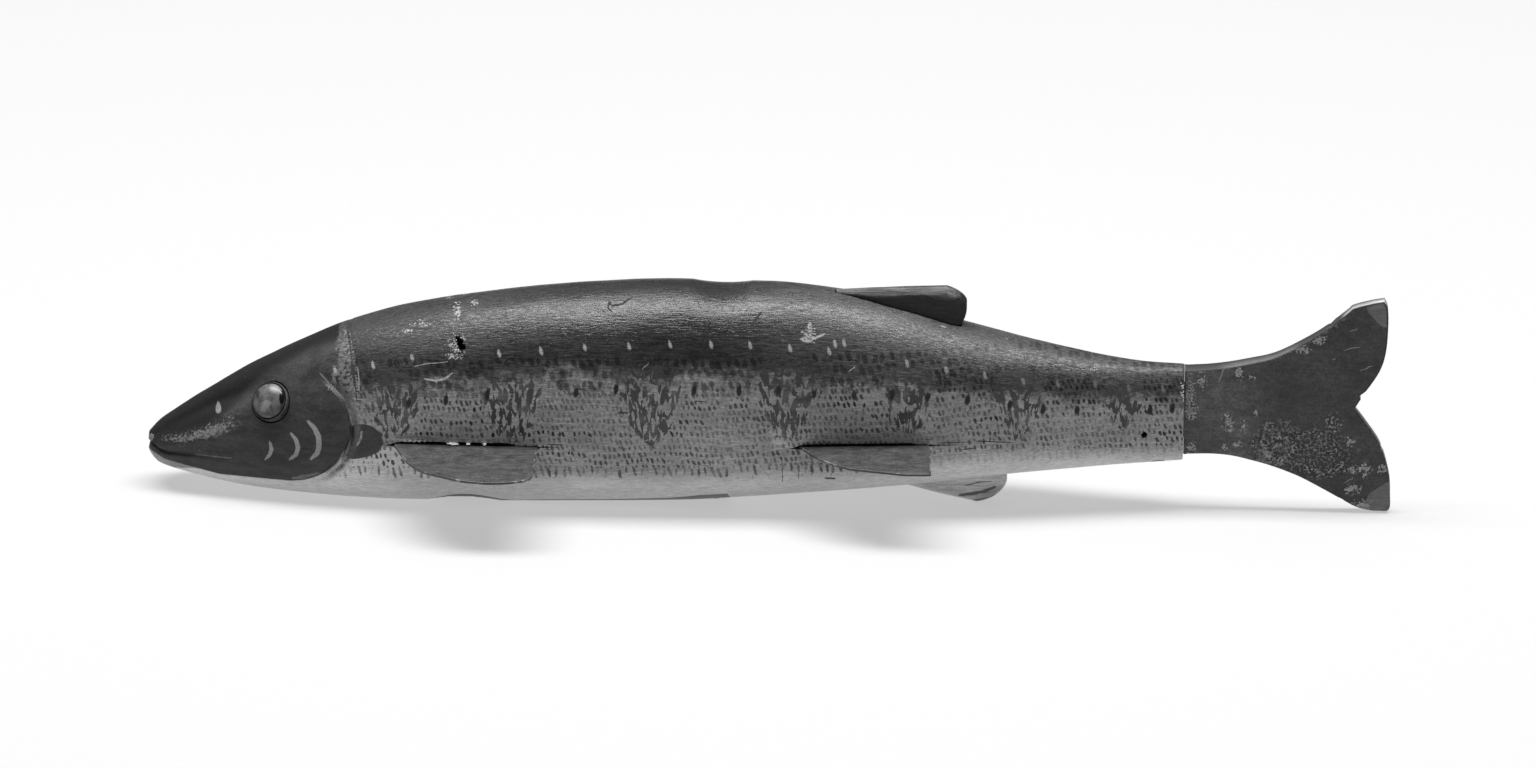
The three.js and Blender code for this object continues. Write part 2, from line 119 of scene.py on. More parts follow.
CARVED_THICKNESS = 4
CARVED_ROOT = 2
ROOT_BEVEL = 0.2
BEVEL_SHARE = 0.4
TIP_FACET = 0.995
DORSAL = {
    "at": 139, "length": 26.1, "front": 0.4, "crest_rise": 7, "crest": 0.84, "tip": 4.6, "bevel": 1.5,
    "rise": 1.18, "outer": 2.2, "heel": 2,
}
ANAL = {
    "at": 151.5, "length": 22, "front": 0.2, "crest_rise": 5.6, "crest": 0.72, "tip": 1.2, "bevel": 1,
    "rise": 1, "outer": 2, "heel": 4,
}
THICKNESS_LINE = [(0, 0.4), (0.45, 1), (0.85, 1), (1, 0.6)]

TAIL_LENGTH = 41.5
TAIL_SEAM = 0.06
TAIL_THICKNESS = 4.2
TAIL_TIP_THICKNESS = 2.5
TAIL_BEVEL = 0.35
TAIL_STEP = 1.6
TAIL_TOP_STEP = 0.6
TAIL_RISE = 15.2
TAIL_DROP = 11.4
TAIL_FORK = (0.817, 22)
UPPER_LOBE = [
    (0, 0), (0.12, 0.028), (0.22, 0.068), (0.31, 0.12), (0.41, 0.188), (0.5, 0.303), (0.65, 0.556),
    (0.77, 0.828), (0.8, 0.9), (0.89, 0.972), (0.945, 1),
]
UPPER_REAR = [(0.962, 0.89), (0.966, 0.64), (0.959, 0.3), (0.932, 0.03), (0.862, -0.28)]
LOWER_REAR = [(0.876, 0.61), (0.948, 0.21), (0.992, -0.32), (1, -0.66)]
LOWER_LOBE = [
    (0.998, -0.97), (0.945, -1), (0.9, -0.99), (0.836, -0.93), (0.765, -0.79), (0.665, -0.585), (0.55, -0.365),
    (0.42, -0.19), (0.32, -0.09), (0.23, -0.015), (0.13, 0.014), (0, 0),
]
OUTLINE_STEPS = 5
TONGUE_LENGTH = 12
TONGUE_THICKNESS = 3
TONGUE_INSET = 3.5

WEIGHT_AT = 72
WEIGHT_LENGTH = 44.5
WEIGHT_HALF_WIDTH = 4.2
WEIGHT_REAR_HALF_WIDTH = 3
WEIGHT_DEPTH = 8
WEIGHT_CORNER = 1.5
CORNER_STEPS = 8

# Fineness of the body's mesh
RING_STEP = 0.45
BODY_SIDES = 196
SNOUT_LENGTH = 3
SNOUT_RINGS = 14
SECTION_STEPS = 1440

# How deep the carving sinks the skin
GILL_DEPTH = 0.95
MOUTH_DEPTH = 0.7
NAPE_DEPTH = 0.2
KERF_WEAR_DEPTH = 0.3
DENT_DEPTH = 0.28

# Where the carving and the paint lie on the left flank, in pixels of the photograph
GILL_LINE = [
    (319, 374), (328, 383), (337, 392), (344, 401), (348, 411), (352, 427), (351, 438), (345, 453),
    (337, 463.5), (326.5, 471.6), (316, 476.7), (305, 479.8), (291, 480.8),
]
HEAD_EDGE = [
    (100, 430), (100, 200), (338, 200), (339, 335), (331, 352), (320, 366), *GILL_LINE,
    (255, 477.5), (220, 474), (186, 465), (165, 459), (150, 449.5), (100, 449),
]
MOUTH_LINE = [
    (140, 437), (149.5, 441), (153, 444.5), (158, 448.7), (166, 451.5), (186, 453.7), (209, 455), (232, 457),
]
NAPE_LINE = [(346, 322), (347, 329), (352, 345), (356, 365), (357, 400)]
ROW_LINE = [(300, 478), (540, 478), (730, 478), (850, 474), (1000, 462), (1200, 455)]
BELLY_EDGE = [
    (290, 468), (315, 464), (335, 459), (350, 455), (372, 450), (395, 446), (420, 452), (470, 470),
    (540, 477.5), (640, 478), (730, 478), (800, 475), (850, 472), (930, 463), (1000, 457), (1100, 455), (1200, 455),
]
BELLY_SOFTNESS = [(300, 0.3), (430, 0.4), (500, 2.4), (600, 3.6), (850, 3.6), (1200, 4)]
BACK_EDGE = [
    (330, 372), (380, 372), (560, 354), (640, 364), (700, 356), (830, 366), (950, 380), (1060, 386), (1200, 388),
]
FLANK_EDGE = [
    (330, 430), (380, 417), (560, 405), (640, 408), (700, 399), (830, 405), (950, 411), (1060, 412), (1200, 414),
]
BACK_TONES = [
    (340, 0.022), (440, 0.02), (560, 0.019), (700, 0.013), (800, 0.026), (880, 0.046), (960, 0.036),
    (1190, 0.034),
]
MATT_PLACES = [
    (345, 0.08), (380, 0.05), (440, 0.02), (500, -0.04), (560, -0.1), (620, -0.2), (745, -0.2), (775, -0.05),
    (860, -0.05), (900, 0), (980, 0.02), (1100, 0.01), (1160, 0.06),
]
# Columns and strength of painted fill light on the flank above each pair of side fins, where the fins shade it
LIFTED_PLACES = [(398, 535, 0.75), (772, 930, 0.45)]
CROWN_EDGE = [
    (100, 441), (163, 437), (185, 432), (205, 425), (222, 413), (245, 390), (262, 374), (285, 360), (310, 348),
    (336, 338), (400, 330),
]
# A painted highlight along the ledge of the snout
SNOUT_BAND = [(165, 437.5), (182, 437), (200, 433), (218, 428), (236, 421), (256, 413)]
NAPE_WEAR = [
    (343, 325), (349, 336), (353, 352), (355, 372), (358, 392), (364, 404), (355, 404), (347, 397), (339, 389),
    (331, 380), (332, 370), (338, 362), (337, 350),
]
DENT = (438, 370.5, 17, 9)
LIGHT_DOTS = [
    (335, 370), (334, 380), (373, 365), (412, 357.5), (499, 353), (541, 351), (584.5, 347), (629, 346),
    (670, 344.5), (711, 344.5), (750, 345), (790, 348), (829, 351), (835, 343.5), (844, 343), (907, 363),
    (946, 369.5), (985, 375.5),
    (1023, 381), (1058, 383.6), (1095, 384), (1129, 388), (1163, 389),
]
DARK_MARKS = [
    (409, 403), (446, 400), (487.5, 395), (576, 393), (616, 389), (694, 390), (739, 391), (778.5, 390.5), (814, 394),
    (854, 395.5), (892, 395), (927.5, 397.6), (967.5, 400), (1010, 405), (1043, 409.6), (1077, 410.4), (1150, 409.6),
    (1172.5, 408),
]
FAR_SHIFT = 11
LIMB_STEP = 4
SNOUT_DROP = (218.4, 406.5)
CRESCENTS = [
    (1.9, [(269.8, 441.2), (271.6, 449.4), (269.5, 455), (264.9, 459.6)]),
    (2.2, [(290.6, 433), (296.2, 440), (298, 447.5), (296.1, 454.5), (289.4, 459.6)]),
    (2.7, [(307.8, 421.2), (314.5, 428), (318.6, 437), (319, 447), (317.2, 453.5), (310.4, 459.2)]),
]
SHOULDER_PATCH = [
    (352, 425), (363, 424), (372, 426), (381, 433), (383.5, 443), (379, 452), (369, 456.5), (354, 459.5), (346, 458),
    (350, 445),
]
PARR_MARKS = [
    (395, 405, 30, 34), (513, 404, 31, 42), (650, 402, 33, 46), (787, 394, 33, 46), (908, 400, 27, 36),
    (1019, 402, 25, 36), (1124, 402, 20, 32),
]
LIGHT_SCRATCHES = [
    (1.2, [(424.5, 378.6), (436, 380.6), (446, 378), (453, 372.3)]),
    (0.5, [(413.8, 366.4), (427, 363.4), (441.4, 362.5), (447.7, 361.6)]),
    (2, [(809.5, 321), (810, 328), (810.4, 336)]),
    (3, [(801, 338), (807, 339.5), (813, 339)]),
    (1.2, [(812, 339), (818, 336.5), (825, 333.5)]),
    (0.7, [(351, 397.5), (357, 399), (363, 399.5)]),
    (0.6, [(360, 404.5), (349, 402.5)]),
    # These two are painted highlights along the lit edges of the gill step
    (1.2, [(361.6, 430), (361, 438), (357, 445.5)]),
    (0.7, [(345, 450), (337, 463), (325, 474)]),
    (0.6, [(940, 325.5), (946, 327.5)]),
    (0.5, [(642, 369), (649, 363)]),
    (0.5, [(848, 372), (856, 366)]),
    (0.4, [(470, 428), (490, 424), (505, 425)]),
]
RUBBED_LINES = [
    (0.9, [(319.5, 373), (328, 381.5), (337, 391), (346, 401)]),
    (1, [(350, 444), (347.5, 452), (342, 460)]),
    (2.2, [(397, 438), (410, 436), (425, 437.5), (437, 439.5)]),
    (1.1, [(437, 439.5), (455, 439.5), (472, 440)]),
    (1.7, [(291, 478.3), (309, 476), (320, 473)]),
    (0.8, [(195, 454.2), (212, 456.3), (232, 458.2)]),
    (0.6, [(357.5, 366), (359, 380), (359, 392)]),
    (1.6, [(722, 286), (736, 285.5)]),
    (0.8, [(488, 441), (505, 438), (522, 439)]),
]
DARK_SCRATCHES = [
    (1.1, [(752, 326), (757, 318), (762, 311.5)]), (0.7, [(616, 412.9), (629, 412.9)]),
    (0.5, [(300, 449), (312, 449)]), (0.3, [(781.8, 458), (782.7, 481.8)]), (0.3, [(798.8, 466), (798.8, 480)]),
    (0.8, [(609, 300), (612, 306), (622, 304), (633, 297)]), (0.6, [(613, 313), (608, 308), (609, 300)]),
    (0.7, [(347, 327), (350, 345), (351.5, 360)]), (1.6, [(351.5, 362), (353.5, 374), (355, 387)]),
    (0.6, [(355.5, 387), (357, 402)]), (1.3, [(751, 327), (753.5, 326)]),
    (1, [(824, 478), (836, 478.5)]), (0.45, [(975, 441), (1012, 442.5)]), (0.45, [(547, 444), (563, 445)]),
    (0.45, [(935, 443), (968, 442)]), (0.5, [(695, 401), (705, 402)]), (0.45, [(960, 450), (975, 448)]),
]
# Thickness in pixels, by column, of the painted shadow along the belly's lowest edge where it rests on the floor
CONTACT_LINE = [
    (430, 0), (440, 0.8), (458, 2.4), (480, 2.4), (500, 1.6), (515, 0.3), (545, 1), (600, 1), (668, 2), (700, 4),
    (728, 4), (730, 0), (1150, 0), (1153, 1.5), (1163, 1.5), (1166, 0),
]
WORN_PLACES = [
    (347, 348, 12, 26), (353, 385, 10, 24), (332, 385, 10, 11), (457, 345, 14, 20), (453, 356, 15, 7),
    (458, 312, 8, 16), (424, 324, 18, 4.2), (408, 331, 7, 6), (474, 303, 7.5, 4.5),
    (810, 334, 12, 12), (728, 284, 16, 4), (1184, 396, 6, 26), (1185, 440, 4, 10), (1110, 340, 8, 3),
]
KERF_WEAR = [(400, 437), (425, 437.5), (448, 439.5), (470, 441)]
KERF_ROW = 443.5
KERF_CHIPS = [(447, 453, 458), (466.5, 468.5, 470.5), (483, 485, 486.5)]
TAIL_TIPS = [
    [(1366, 305), (1376, 300), (1392, 296), (1392, 327), (1383, 327.4), (1376, 321), (1368, 312)],
    [(1395, 479), (1384, 484), (1368, 494.5), (1366, 504), (1370, 516), (1395, 516)],
]
TAIL_NAIL = (1210, 429)
TAIL_NAIL_RADIUS = 1.3
TAIL_NICKS = [(1362.5, 393, 0.8), (1384, 447, 0.4), (1340, 499.5, 0.4), (1331, 322.5, 0.4)]
TAIL_WEAR = [
    (1190, 396, 8, 28), (1191, 412, 10, 12), (1190, 448, 9, 8), (1202, 382, 7, 15), (1239, 373, 7, 10),
    (1224, 446.5, 5, 6), (1238, 444, 7, 6), (1267, 455, 8, 7), (1244, 428, 5, 9), (1228, 422, 9, 12),
    (1282, 461, 8, 6), (1364, 470, 9, 11), (1382, 469, 8, 7), (1352, 489, 13, 8), (1361, 505, 15, 8),
    (1353, 470, 6, 6), (1307, 351, 8, 5), (1350, 441, 7, 7), (1251, 378, 7, 4), (1256, 413, 4, 6),
    (1319, 340, 12, 8), (1300, 349, 14, 7),
]
TOP_WEAR = [(1262, 358), (1285, 351), (1300, 343), (1320, 332), (1340, 318), (1350, 308)]
TAIL_LINES = [
    (0.6, [(1224, 366), (1222, 374), (1219, 382)]), (0.5, [(1237, 367), (1240, 371)]),
    (0.35, [(1343, 350.5), (1352, 348), (1363, 347.5)]), (0.3, [(1331, 359.5), (1337, 359)]),
    (0.35, [(1350, 331), (1357, 329.5)]), (0.35, [(1344, 483), (1353, 478)]), (0.3, [(1226, 417), (1226, 430)]),
    (0.3, [(1360, 371), (1372, 366)]),
]
FLAKING_PLACES = [
    (1300, 452, 54, 26), (1276, 448, 30, 28), (1310, 438, 36, 10), (1320, 466, 34, 14), (1268, 432, 12, 14),
    (1334, 424, 10, 12),
]
# The line above which the dorsal fin's upper facet carries a painted highlight
DORSAL_RIDGE = [
    (850, 292), (897, 291), (915, 292.6), (926, 294.8), (936.5, 299.4), (947, 301.2), (955, 300.6), (961, 296),
    (968, 285),
]
ANAL_STREAKS = [
    (1.6, [(958, 495.5), (974, 493.5), (986, 490.5), (996, 486.5)]),
    (1.3, [(1005, 487), (1000, 494), (990, 498), (972, 500.5)]),
    (0.5, [(965, 485.5), (979, 482), (992, 481.5)]),
]
EYE_MIDDLE = (273, 399)
PUPIL = ((282, 397.5), 2.9, 7.6, 0.03)
# Painted highlights and reflections on the eye's dome, and painted shade and dark reflections round it, as ovals in
# pixels
EYE_PALE = [(266, 404, 7, 8), (263, 409, 5, 5), (275, 388, 8, 6)]
EYE_SHADES = [(290, 386, 5, 7), (257.5, 394, 3, 8), (282, 408, 4, 5), (284, 415, 6, 3)]

# Reflectances of the paints and other finishes, and of the painted light and shade, between 0 and 1
TONE = {
    "flank": 0.229, "belly": 0.53, "head": 0.026, "snout_band": 0.17, "nape": 0.11, "nape_pit": 0.016,
    "parr": 0.03, "mark": 0.009, "dot": 0.22, "crescent": 0.25, "shoulder": 0.034, "gill_ramp": 0.085,
    "chip": 0.3, "rubbed": 0.33, "scratch": 0.26, "crack": 0.012, "contact": 0.03, "filler": 0.6, "raw": 0.02,
    "tail": 0.027, "tail_tip": 0.125, "tail_pit": 0.006, "tail_scratch": 0.24, "top_wear": 0.17, "nail": 0.01,
    "top_edge": 0.03, "near_edge": 0.085, "tip_edge": 0.6, "dorsal": 0.015, "dorsal_facet": (0.024, 0.07),
    "anal_facet": 0.17, "anal_streak": 0.045, "fin": 0.034, "fin_rim": 0.016, "fin_chip": 0.16,
    "lead": 0.16, "lead_pit": 0.05, "eye": 0.07, "eye_pale": 0.17, "eye_shade": 0.02, "eye_groove": 0.014,
    "pupil": 0.004, "floor": 0.2,
}
FLOOR_GLOW = 0.47
FLOOR_HALF = 3
WORLD_LIGHT = 0.08

# Lights: name, place, width, depth and power
LIGHTS = [
    ("softbox", (0, 0.03, 1.2), 1.5, 0.42, 44),
    ("rear_panel", (0, 0.75, 1.0), 2.0, 1.0, 3.2),
    ("left_fill", (-1.1, -0.7, 0.3), 0.5, 0.4, 1.2),
]


def along(points, share):
    """Monotone cubic through points of (share, value), whose slopes never overshoot."""
    places, values = np.array(points, float).T
    widths = np.diff(places)
    slopes = np.diff(values) / widths
    tangents = np.zeros_like(values)
    tangents[0], tangents[-1] = slopes[0], slopes[-1]
    before = 2 * widths[1:] + widths[:-1]
    after = widths[1:] + 2 * widths[:-1]
    same_way = slopes[:-1] * slopes[1:] > 0
    low, high = np.where(same_way, slopes[:-1], 1), np.where(same_way, slopes[1:], 1)
    tangents[1:-1] = np.where(same_way, (before + after) / (before / low + after / high), 0)
    at = np.clip(share, places[0], places[-1])
    span = np.clip(np.searchsorted(places, at, side="right") - 1, 0, len(widths) - 1)
    t = (at - places[span]) / widths[span]
    start = (1 + 2 * t) * (1 - t) ** 2 * values[span] + t * t * (3 - 2 * t) * values[span + 1]
    bend = t * (1 - t) ** 2 * tangents[span] - t * t * (1 - t) * tangents[span + 1]
    return start + bend * widths[span]


def back_at(x):
    return along(BACK_LINE, np.asarray(x) / BODY_LENGTH) * BODY_HEIGHT


def belly_at(x):
    return along(BELLY_LINE, np.asarray(x) / BODY_LENGTH) * BODY_HEIGHT


def section_at(x):
    share = np.asarray(x, float) / BODY_LENGTH
    top, bottom = back_at(x), belly_at(x)
    middle = bottom + along(WIDEST_LINE, share) * (top - bottom)
    half = along(PLAN_LINE, share) * BODY_HALF_WIDTH
    return top, bottom, middle, half, along(SQUARE_LINE, share), along(HOLLOW_LINE, share)


def hollowed(section, y, z):
    top, bottom, _, _, _, hollow = section
    level = (z - bottom) / (top - bottom)
    return y * (1 - hollow * np.exp(-(((level - HOLLOW_LEVEL) / HOLLOW_SPREAD) ** 2)))


def flank_at(x, z):
    section = section_at(x)
    top, bottom, middle, half, square, _ = section
    reach = np.where(z >= middle, top - middle, middle - bottom)
    up = np.minimum(np.abs(z - middle) / reach, 1)
    return hollowed(section, half * (1 - up**square) ** (1 / square), z)


def flank_frame(x, z, side):
    """The place and outward direction of the skin on one side, as a matrix whose Y axis points outwards."""
    step = 0.5
    slope_x = float(flank_at(x + step, z) - flank_at(x - step, z)) / (2 * step)
    slope_z = float(flank_at(x, z + step) - flank_at(x, z - step)) / (2 * step)
    outward = Vector((-slope_x, side, -slope_z)).normalized()
    turn = Vector((0, 1, 0)).rotation_difference(outward).to_matrix().to_4x4()
    return Matrix.Translation((x, side * float(flank_at(x, z)), z)) @ turn


def camera_back():
    flat = math.cos(CAMERA_ELEVATION)
    return Vector((math.sin(CAMERA_AZIMUTH) * flat, -math.cos(CAMERA_AZIMUTH) * flat, math.sin(CAMERA_ELEVATION)))


def to_pixels(points):
    """Where the photograph's camera sees points given in millimetres from the snout."""
    back = camera_back()
    right = Vector((0, 0, 1)).cross(back).normalized()
    up = back.cross(right)
    eye = CAMERA_AIM + back * CAMERA_DISTANCE
    offset = placed_points(points) - np.array(eye)
    depth = -(offset @ np.array(back))
    focal = LENS / SENSOR * IMAGE_WIDTH
    across = offset @ np.array(right) / depth * focal
    rise = offset @ np.array(up) / depth * focal
    return IMAGE_WIDTH / 2 + across, IMAGE_HEIGHT / 2 - rise


def placed_points(points):
    middle = (BODY_LENGTH + TAIL_LENGTH) / 2
    return (np.asarray(points, float) - (middle, 0, 0)) * MM


def smooth(value, start, end):
    t = np.clip((value - start) / (end - start), 0, 1)
    return t * t * (3 - 2 * t)


def follow(line, px):
    """The value of a line of (column, value) at columns of the photograph."""
    return np.interp(px, *zip(*line))


def near_path(px, py, path):
    """Distance to a path in pixels, the share of the path reached there, and the side it lies on."""
    best = np.full(px.shape, 1e9)
    share, side = np.zeros(px.shape), np.ones(px.shape)
    path = np.array(path, float)
    lengths = np.hypot(*np.diff(path, axis=0).T)
    walked = np.concatenate([[0], np.cumsum(lengths)]) / lengths.sum()
    for i, (start, end) in enumerate(zip(path[:-1], path[1:])):
        dx, dy = end - start
        t = np.clip(((px - start[0]) * dx + (py - start[1]) * dy) / (dx * dx + dy * dy), 0, 1)
        distance = np.hypot(px - start[0] - t * dx, py - start[1] - t * dy)
        closer = distance < best
        best = np.where(closer, distance, best)
        share = np.where(closer, walked[i] + t * (walked[i + 1] - walked[i]), share)
        cross = (px - start[0]) * dy - (py - start[1]) * dx
        side = np.where(closer, np.where(cross > 0, 1, -1), side)
    return best, share, side


def outside(px, py, corners):
    """Signed distance in pixels to a closed outline, negative inside it."""
    closed = [*corners, corners[0]]
    distance = near_path(px, py, closed)[0]
    crossings = np.zeros(px.shape, int)
    for (x0, y0), (x1, y1) in zip(closed[:-1], closed[1:]):
        spans = (y0 > py) != (y1 > py)
        reach = x0 + (py - y0) * (x1 - x0) / (y1 - y0 if y1 != y0 else 1)
        crossings += spans & (px < reach)
    return np.where(crossings % 2 == 1, -distance, distance)


def oval(px, py, at, half_width, half_height, lean=0, narrow=0):
    """About how far pixels lie outside an oval that leans to the right and narrows upwards."""
    down = (py - at[1]) / half_height
    across = (px - at[0] - lean * (at[1] - py)) / (half_width * (1 + narrow * np.clip(down, -1, 1)))
    return (np.hypot(across, down) - 1) * min(half_width, half_height)


def mesh_object(name, points, faces):
    mesh = bpy.data.meshes.new(name)
    mesh.from_pydata([tuple(p) for p in points], [], [tuple(f) for f in faces])
    mesh.update()
    made = bpy.data.objects.new(name, mesh)
    bpy.context.scene.collection.objects.link(made)
    return made


def loft(name, rings, ends=None):
    """A closed skin over rings of as many points, each turning anticlockwise seen from +X, and two end points."""
    sides = len(rings[0])
    steps = [(i, (i + 1) % sides) for i in range(sides)]
    points = [p for ring in rings for p in ring]
    last = len(points) - sides
    faces = []
    for near in range(0, last, sides):
        faces += [(near + i, near + after, near + sides + after, near + sides + i) for i, after in steps]
    faces += [(after, i, last + sides) for i, after in steps]
    faces += [(last + i, last + after, last + sides + 1) for i, after in steps]
    return mesh_object(name, points + (ends or [np.mean(rings[0], axis=0), np.mean(rings[-1], axis=0)]), faces)


def coordinates(target):
    flat = np.zeros(len(target.data.vertices) * 3)
    target.data.vertices.foreach_get("co", flat)
    return flat.reshape(-1, 3)


def move_to(target, points):
    target.data.vertices.foreach_set("co", np.asarray(points, float).ravel())
    target.data.update()


def keep(target, **values):
    """Stores a number at each vertex under each name, for the paint to read."""
    for name, numbers in values.items():
        made = target.data.attributes.new(name, "FLOAT", "POINT")
        made.data.foreach_set("value", np.asarray(numbers, np.float32))


def cut(target, cutters, operation="DIFFERENCE"):
    for cutter in cutters:
        modifier = target.modifiers.new(cutter.name, "BOOLEAN")
        modifier.operation = operation
        modifier.solver = "MANIFOLD"
        modifier.object = cutter
    graph = bpy.context.evaluated_depsgraph_get()
    mesh = bpy.data.meshes.new_from_object(target.evaluated_get(graph))
    target.modifiers.clear()
    target.data = mesh
    for cutter in cutters:
        bpy.data.objects.remove(cutter)


def finished(target, node, paint, sharp=35):
    """Places a piece in the row frame, shades it and has it stand for its CAD node."""
    move_to(target, placed_points(coordinates(target)))
    target.data.materials.clear()
    target.data.materials.append(paint)
    target.data.shade_smooth()
    target.data.set_sharp_from_angle(angle=math.radians(sharp))
    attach(target, "root")
    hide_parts(node)


def bumps(points, scale, strength, seed):
    """Smooth unevenness in millimetres; scale is the size of a bump along each axis."""
    stretched = points / np.array(scale) + seed
    return strength * np.array([noise.noise(Vector(p)) for p in stretched])


def body_skin():
    """The body's surface before it is cut, as rings of points that are evenly spaced round each ring."""
    snout = SNOUT_LENGTH * (np.arange(SNOUT_RINGS) / SNOUT_RINGS) ** 1.6
    rest = np.arange(SNOUT_LENGTH, BODY_LENGTH - 0.7, RING_STEP)
    stations = np.concatenate([snout, rest, BODY_LENGTH - np.array([0.55, 0.35, 0.18, 0.06, 0])])
    angle = np.linspace(0, 2 * math.pi, SECTION_STEPS, endpoint=False) + math.pi / 2
    rings = []
    for x in stations:
        top, bottom, middle, half, square, _ = section = section_at(x)
        across, up = (np.sign(turn) * np.abs(turn) ** (2 / square) for turn in (np.cos(angle), np.sin(angle)))
        z = middle + np.where(up >= 0, top - middle, middle - bottom) * up
        y = hollowed(section, half * across, z)
        ring = even_steps(np.column_stack([y, np.maximum(z, 0)]), BODY_SIDES)
        rings.append(np.column_stack([np.full(BODY_SIDES, x), ring]))
    return np.array(rings)


def outward_normals(rings):
    around = np.roll(rings, -1, axis=1) - np.roll(rings, 1, axis=1)
    lengthwise = np.gradient(rings, axis=0)
    normals = np.cross(around, lengthwise)
    return normals / np.maximum(np.linalg.norm(normals, axis=2, keepdims=True), 1e-9)


def mirrored_pixels(points):
    """Pixels of points as if each were on the left flank, where the photograph shows it."""
    left = np.array(points, float)
    left[:, 1] = -np.abs(left[:, 1])
    return to_pixels(left)


def body_relief(points):
    """How far the carving sinks the skin, in millimetres."""
    px, py = mirrored_pixels(points)
    left = points[:, 1] < 0
    distance, share, side = near_path(px, py, GILL_LINE)
    across = distance * PIXEL * side
    wall = np.where(across < 0, smooth(across, -0.4, 0.05), 1 - smooth(across, 0.1, 2.1))
    sunk = GILL_DEPTH * wall * smooth(share, 0, 0.12) * smooth(share, 1, 0.82) * (distance * PIXEL < 2.6)
    distance, share, side = near_path(px, py, MOUTH_LINE)
    across = distance * PIXEL * side
    wall = np.where(across > 0, 1 - smooth(across, 0.05, 0.3), 1 - smooth(-across, 0.1, 0.9))
    sunk += MOUTH_DEPTH * wall * (1 - 0.75 * smooth(share, 0.1, 1)) * smooth(share, 1, 0.9)
    distance, share, _ = near_path(px, py, NAPE_LINE)
    sunk += NAPE_DEPTH * (1 - smooth(distance * PIXEL, 0.05, 0.5)) * smooth(share, 1, 0.8)
    distance = near_path(px, py, KERF_WEAR)[0]
    sunk += KERF_WEAR_DEPTH * (1 - smooth(distance * PIXEL, 0.2, 0.9)) * left
    x, y, half_width, half_height = DENT
    away = np.hypot((px - x) / half_width, (py - y + 0.16 * (px - x)) / half_height)
    return sunk + DENT_DEPTH * (1 - smooth(away, 0.35, 1)) * left


def fin_place(fin):
    return Matrix.Translation((fin["at"], 0, fin["level"])) @ Matrix.Rotation(-math.radians(fin["pitch"]), 4, "Y")


def kerf_columns(xs):
    """The photograph's columns of places along the left pectoral kerf."""
    return to_pixels([(PECTORAL["at"] + x, -KERF_SKIN, PECTORAL["level"] + 0.5) for x in xs])[0]


def kerf_cutter(fin, side):
    """The saw kerf's prism, whose upper edge wanders and keeps the chips of filler that the photograph shows."""
    top = SHEET_THICKNESS + FIT_GAP + KERF_SLACK - 0.1
    length = fin["length"] + fin["overrun"]
    buried = KERF_DEPTH / (KERF_DEPTH + fin["corner"][1] * fin["reach"])
    behind = fin["length"] * (fin["heel"] + (1 - fin["heel"]) * buried)
    inner = float(flank_at(fin["at"] + fin["length"] / 2, fin["level"])) - KERF_DEPTH
    lower, upper = [], []
    for step in range(KERF_STEPS + 1):
        x = -KERF_TAPER + (length + KERF_TAPER) * step / KERF_STEPS
        past = smooth(x, behind - 0.2, behind + 0.4)
        close = smooth(x, 1.2, -KERF_TAPER)
        tight = smooth(x, behind - fin["tight"], behind - fin["tight"] / 2)
        ragged = 0.3 * noise.noise(Vector((x * 1.9, side * 7, 3)))
        over = top - close * (top - 0.06) + ragged * (1 - close) - tight * (top - SHEET_THICKNESS - 0.1)
        over += fin["opening"] * smooth(x, 1.5, 7) * (1 - tight)
        if x > 0:
            over = max(over, SHEET_THICKNESS + 0.02)
        if fin is PECTORAL and side < 0:
            column = kerf_columns([x])[0]
            if any(start < column < end for start, _, end in KERF_CHIPS):
                over = SHEET_THICKNESS + 0.12
        low = -FIT_GAP * (1 - close) * (1 - 0.9 * tight) - 0.02
        crack, gape = 0.42 + 0.8 * ragged, 0.13 - 0.09 * smooth(x, fin["length"] + 0.5, length)
        lower.append((x, low + past * (crack - gape - low)))
        upper.append((x, over + past * (crack + gape - over)))
    return prism("kerf", lower + upper[::-1], side * inner, side * (BODY_HALF_WIDTH + KERF_DEPTH), fin_place(fin))


def filler_lumps():
    """Lumps of old filler that bridge the left kerf above the pectoral fin."""
    fin = PECTORAL
    xs = np.arange(0, fin["length"], 0.1)
    shown = kerf_columns(xs)
    lumps = []
    for start, middle, end in KERF_CHIPS:
        x = float(np.interp(middle, shown, xs))
        skin = float(flank_at(fin["at"] + x, fin["level"] + 0.8))
        shape = bmesh.new()
        bmesh.ops.create_icosphere(shape, subdivisions=3, radius=1)
        for vertex in shape.verts:
            vertex.co *= 1 + 0.35 * noise.noise(vertex.co * 1.9 + Vector((start, 0, 0)))
            vertex.co *= Vector(((end - start) / 2 * PIXEL, 0.42, 0.26))
        lumps.append(released(shape, mesh_object("filler", [], [])))
        lumps[-1].data.transform(fin_place(fin) @ Matrix.Translation((x, -skin, FILLER_LEVEL)))
    return lumps


def prism(name, outline, start, end, place=None):
    """A closed prism over an outline in X and Z, from start to end along Y."""
    count = len(outline)
    points = [(x, y, z) for y in (start, end) for x, z in outline]
    faces = [tuple(range(count)), tuple(range(2 * count - 1, count - 1, -1))]
    faces += [(i, i + count, (i + 1) % count + count, (i + 1) % count) for i in range(count)]
    return turned_out(mesh_object(name, points, faces), place)


def released(shape, made):
    """Writes an edited shape into an object's mesh."""
    shape.to_mesh(made.data)
    shape.free()
    return made


def turned_out(made, place=None):
    """Moves a closed mesh to a place and turns its faces outwards."""
    if place is not None:
        made.data.transform(place)
    shape = bmesh.new()
    shape.from_mesh(made.data)
    bmesh.ops.recalc_face_normals(shape, faces=shape.faces)
    return released(shape, made)


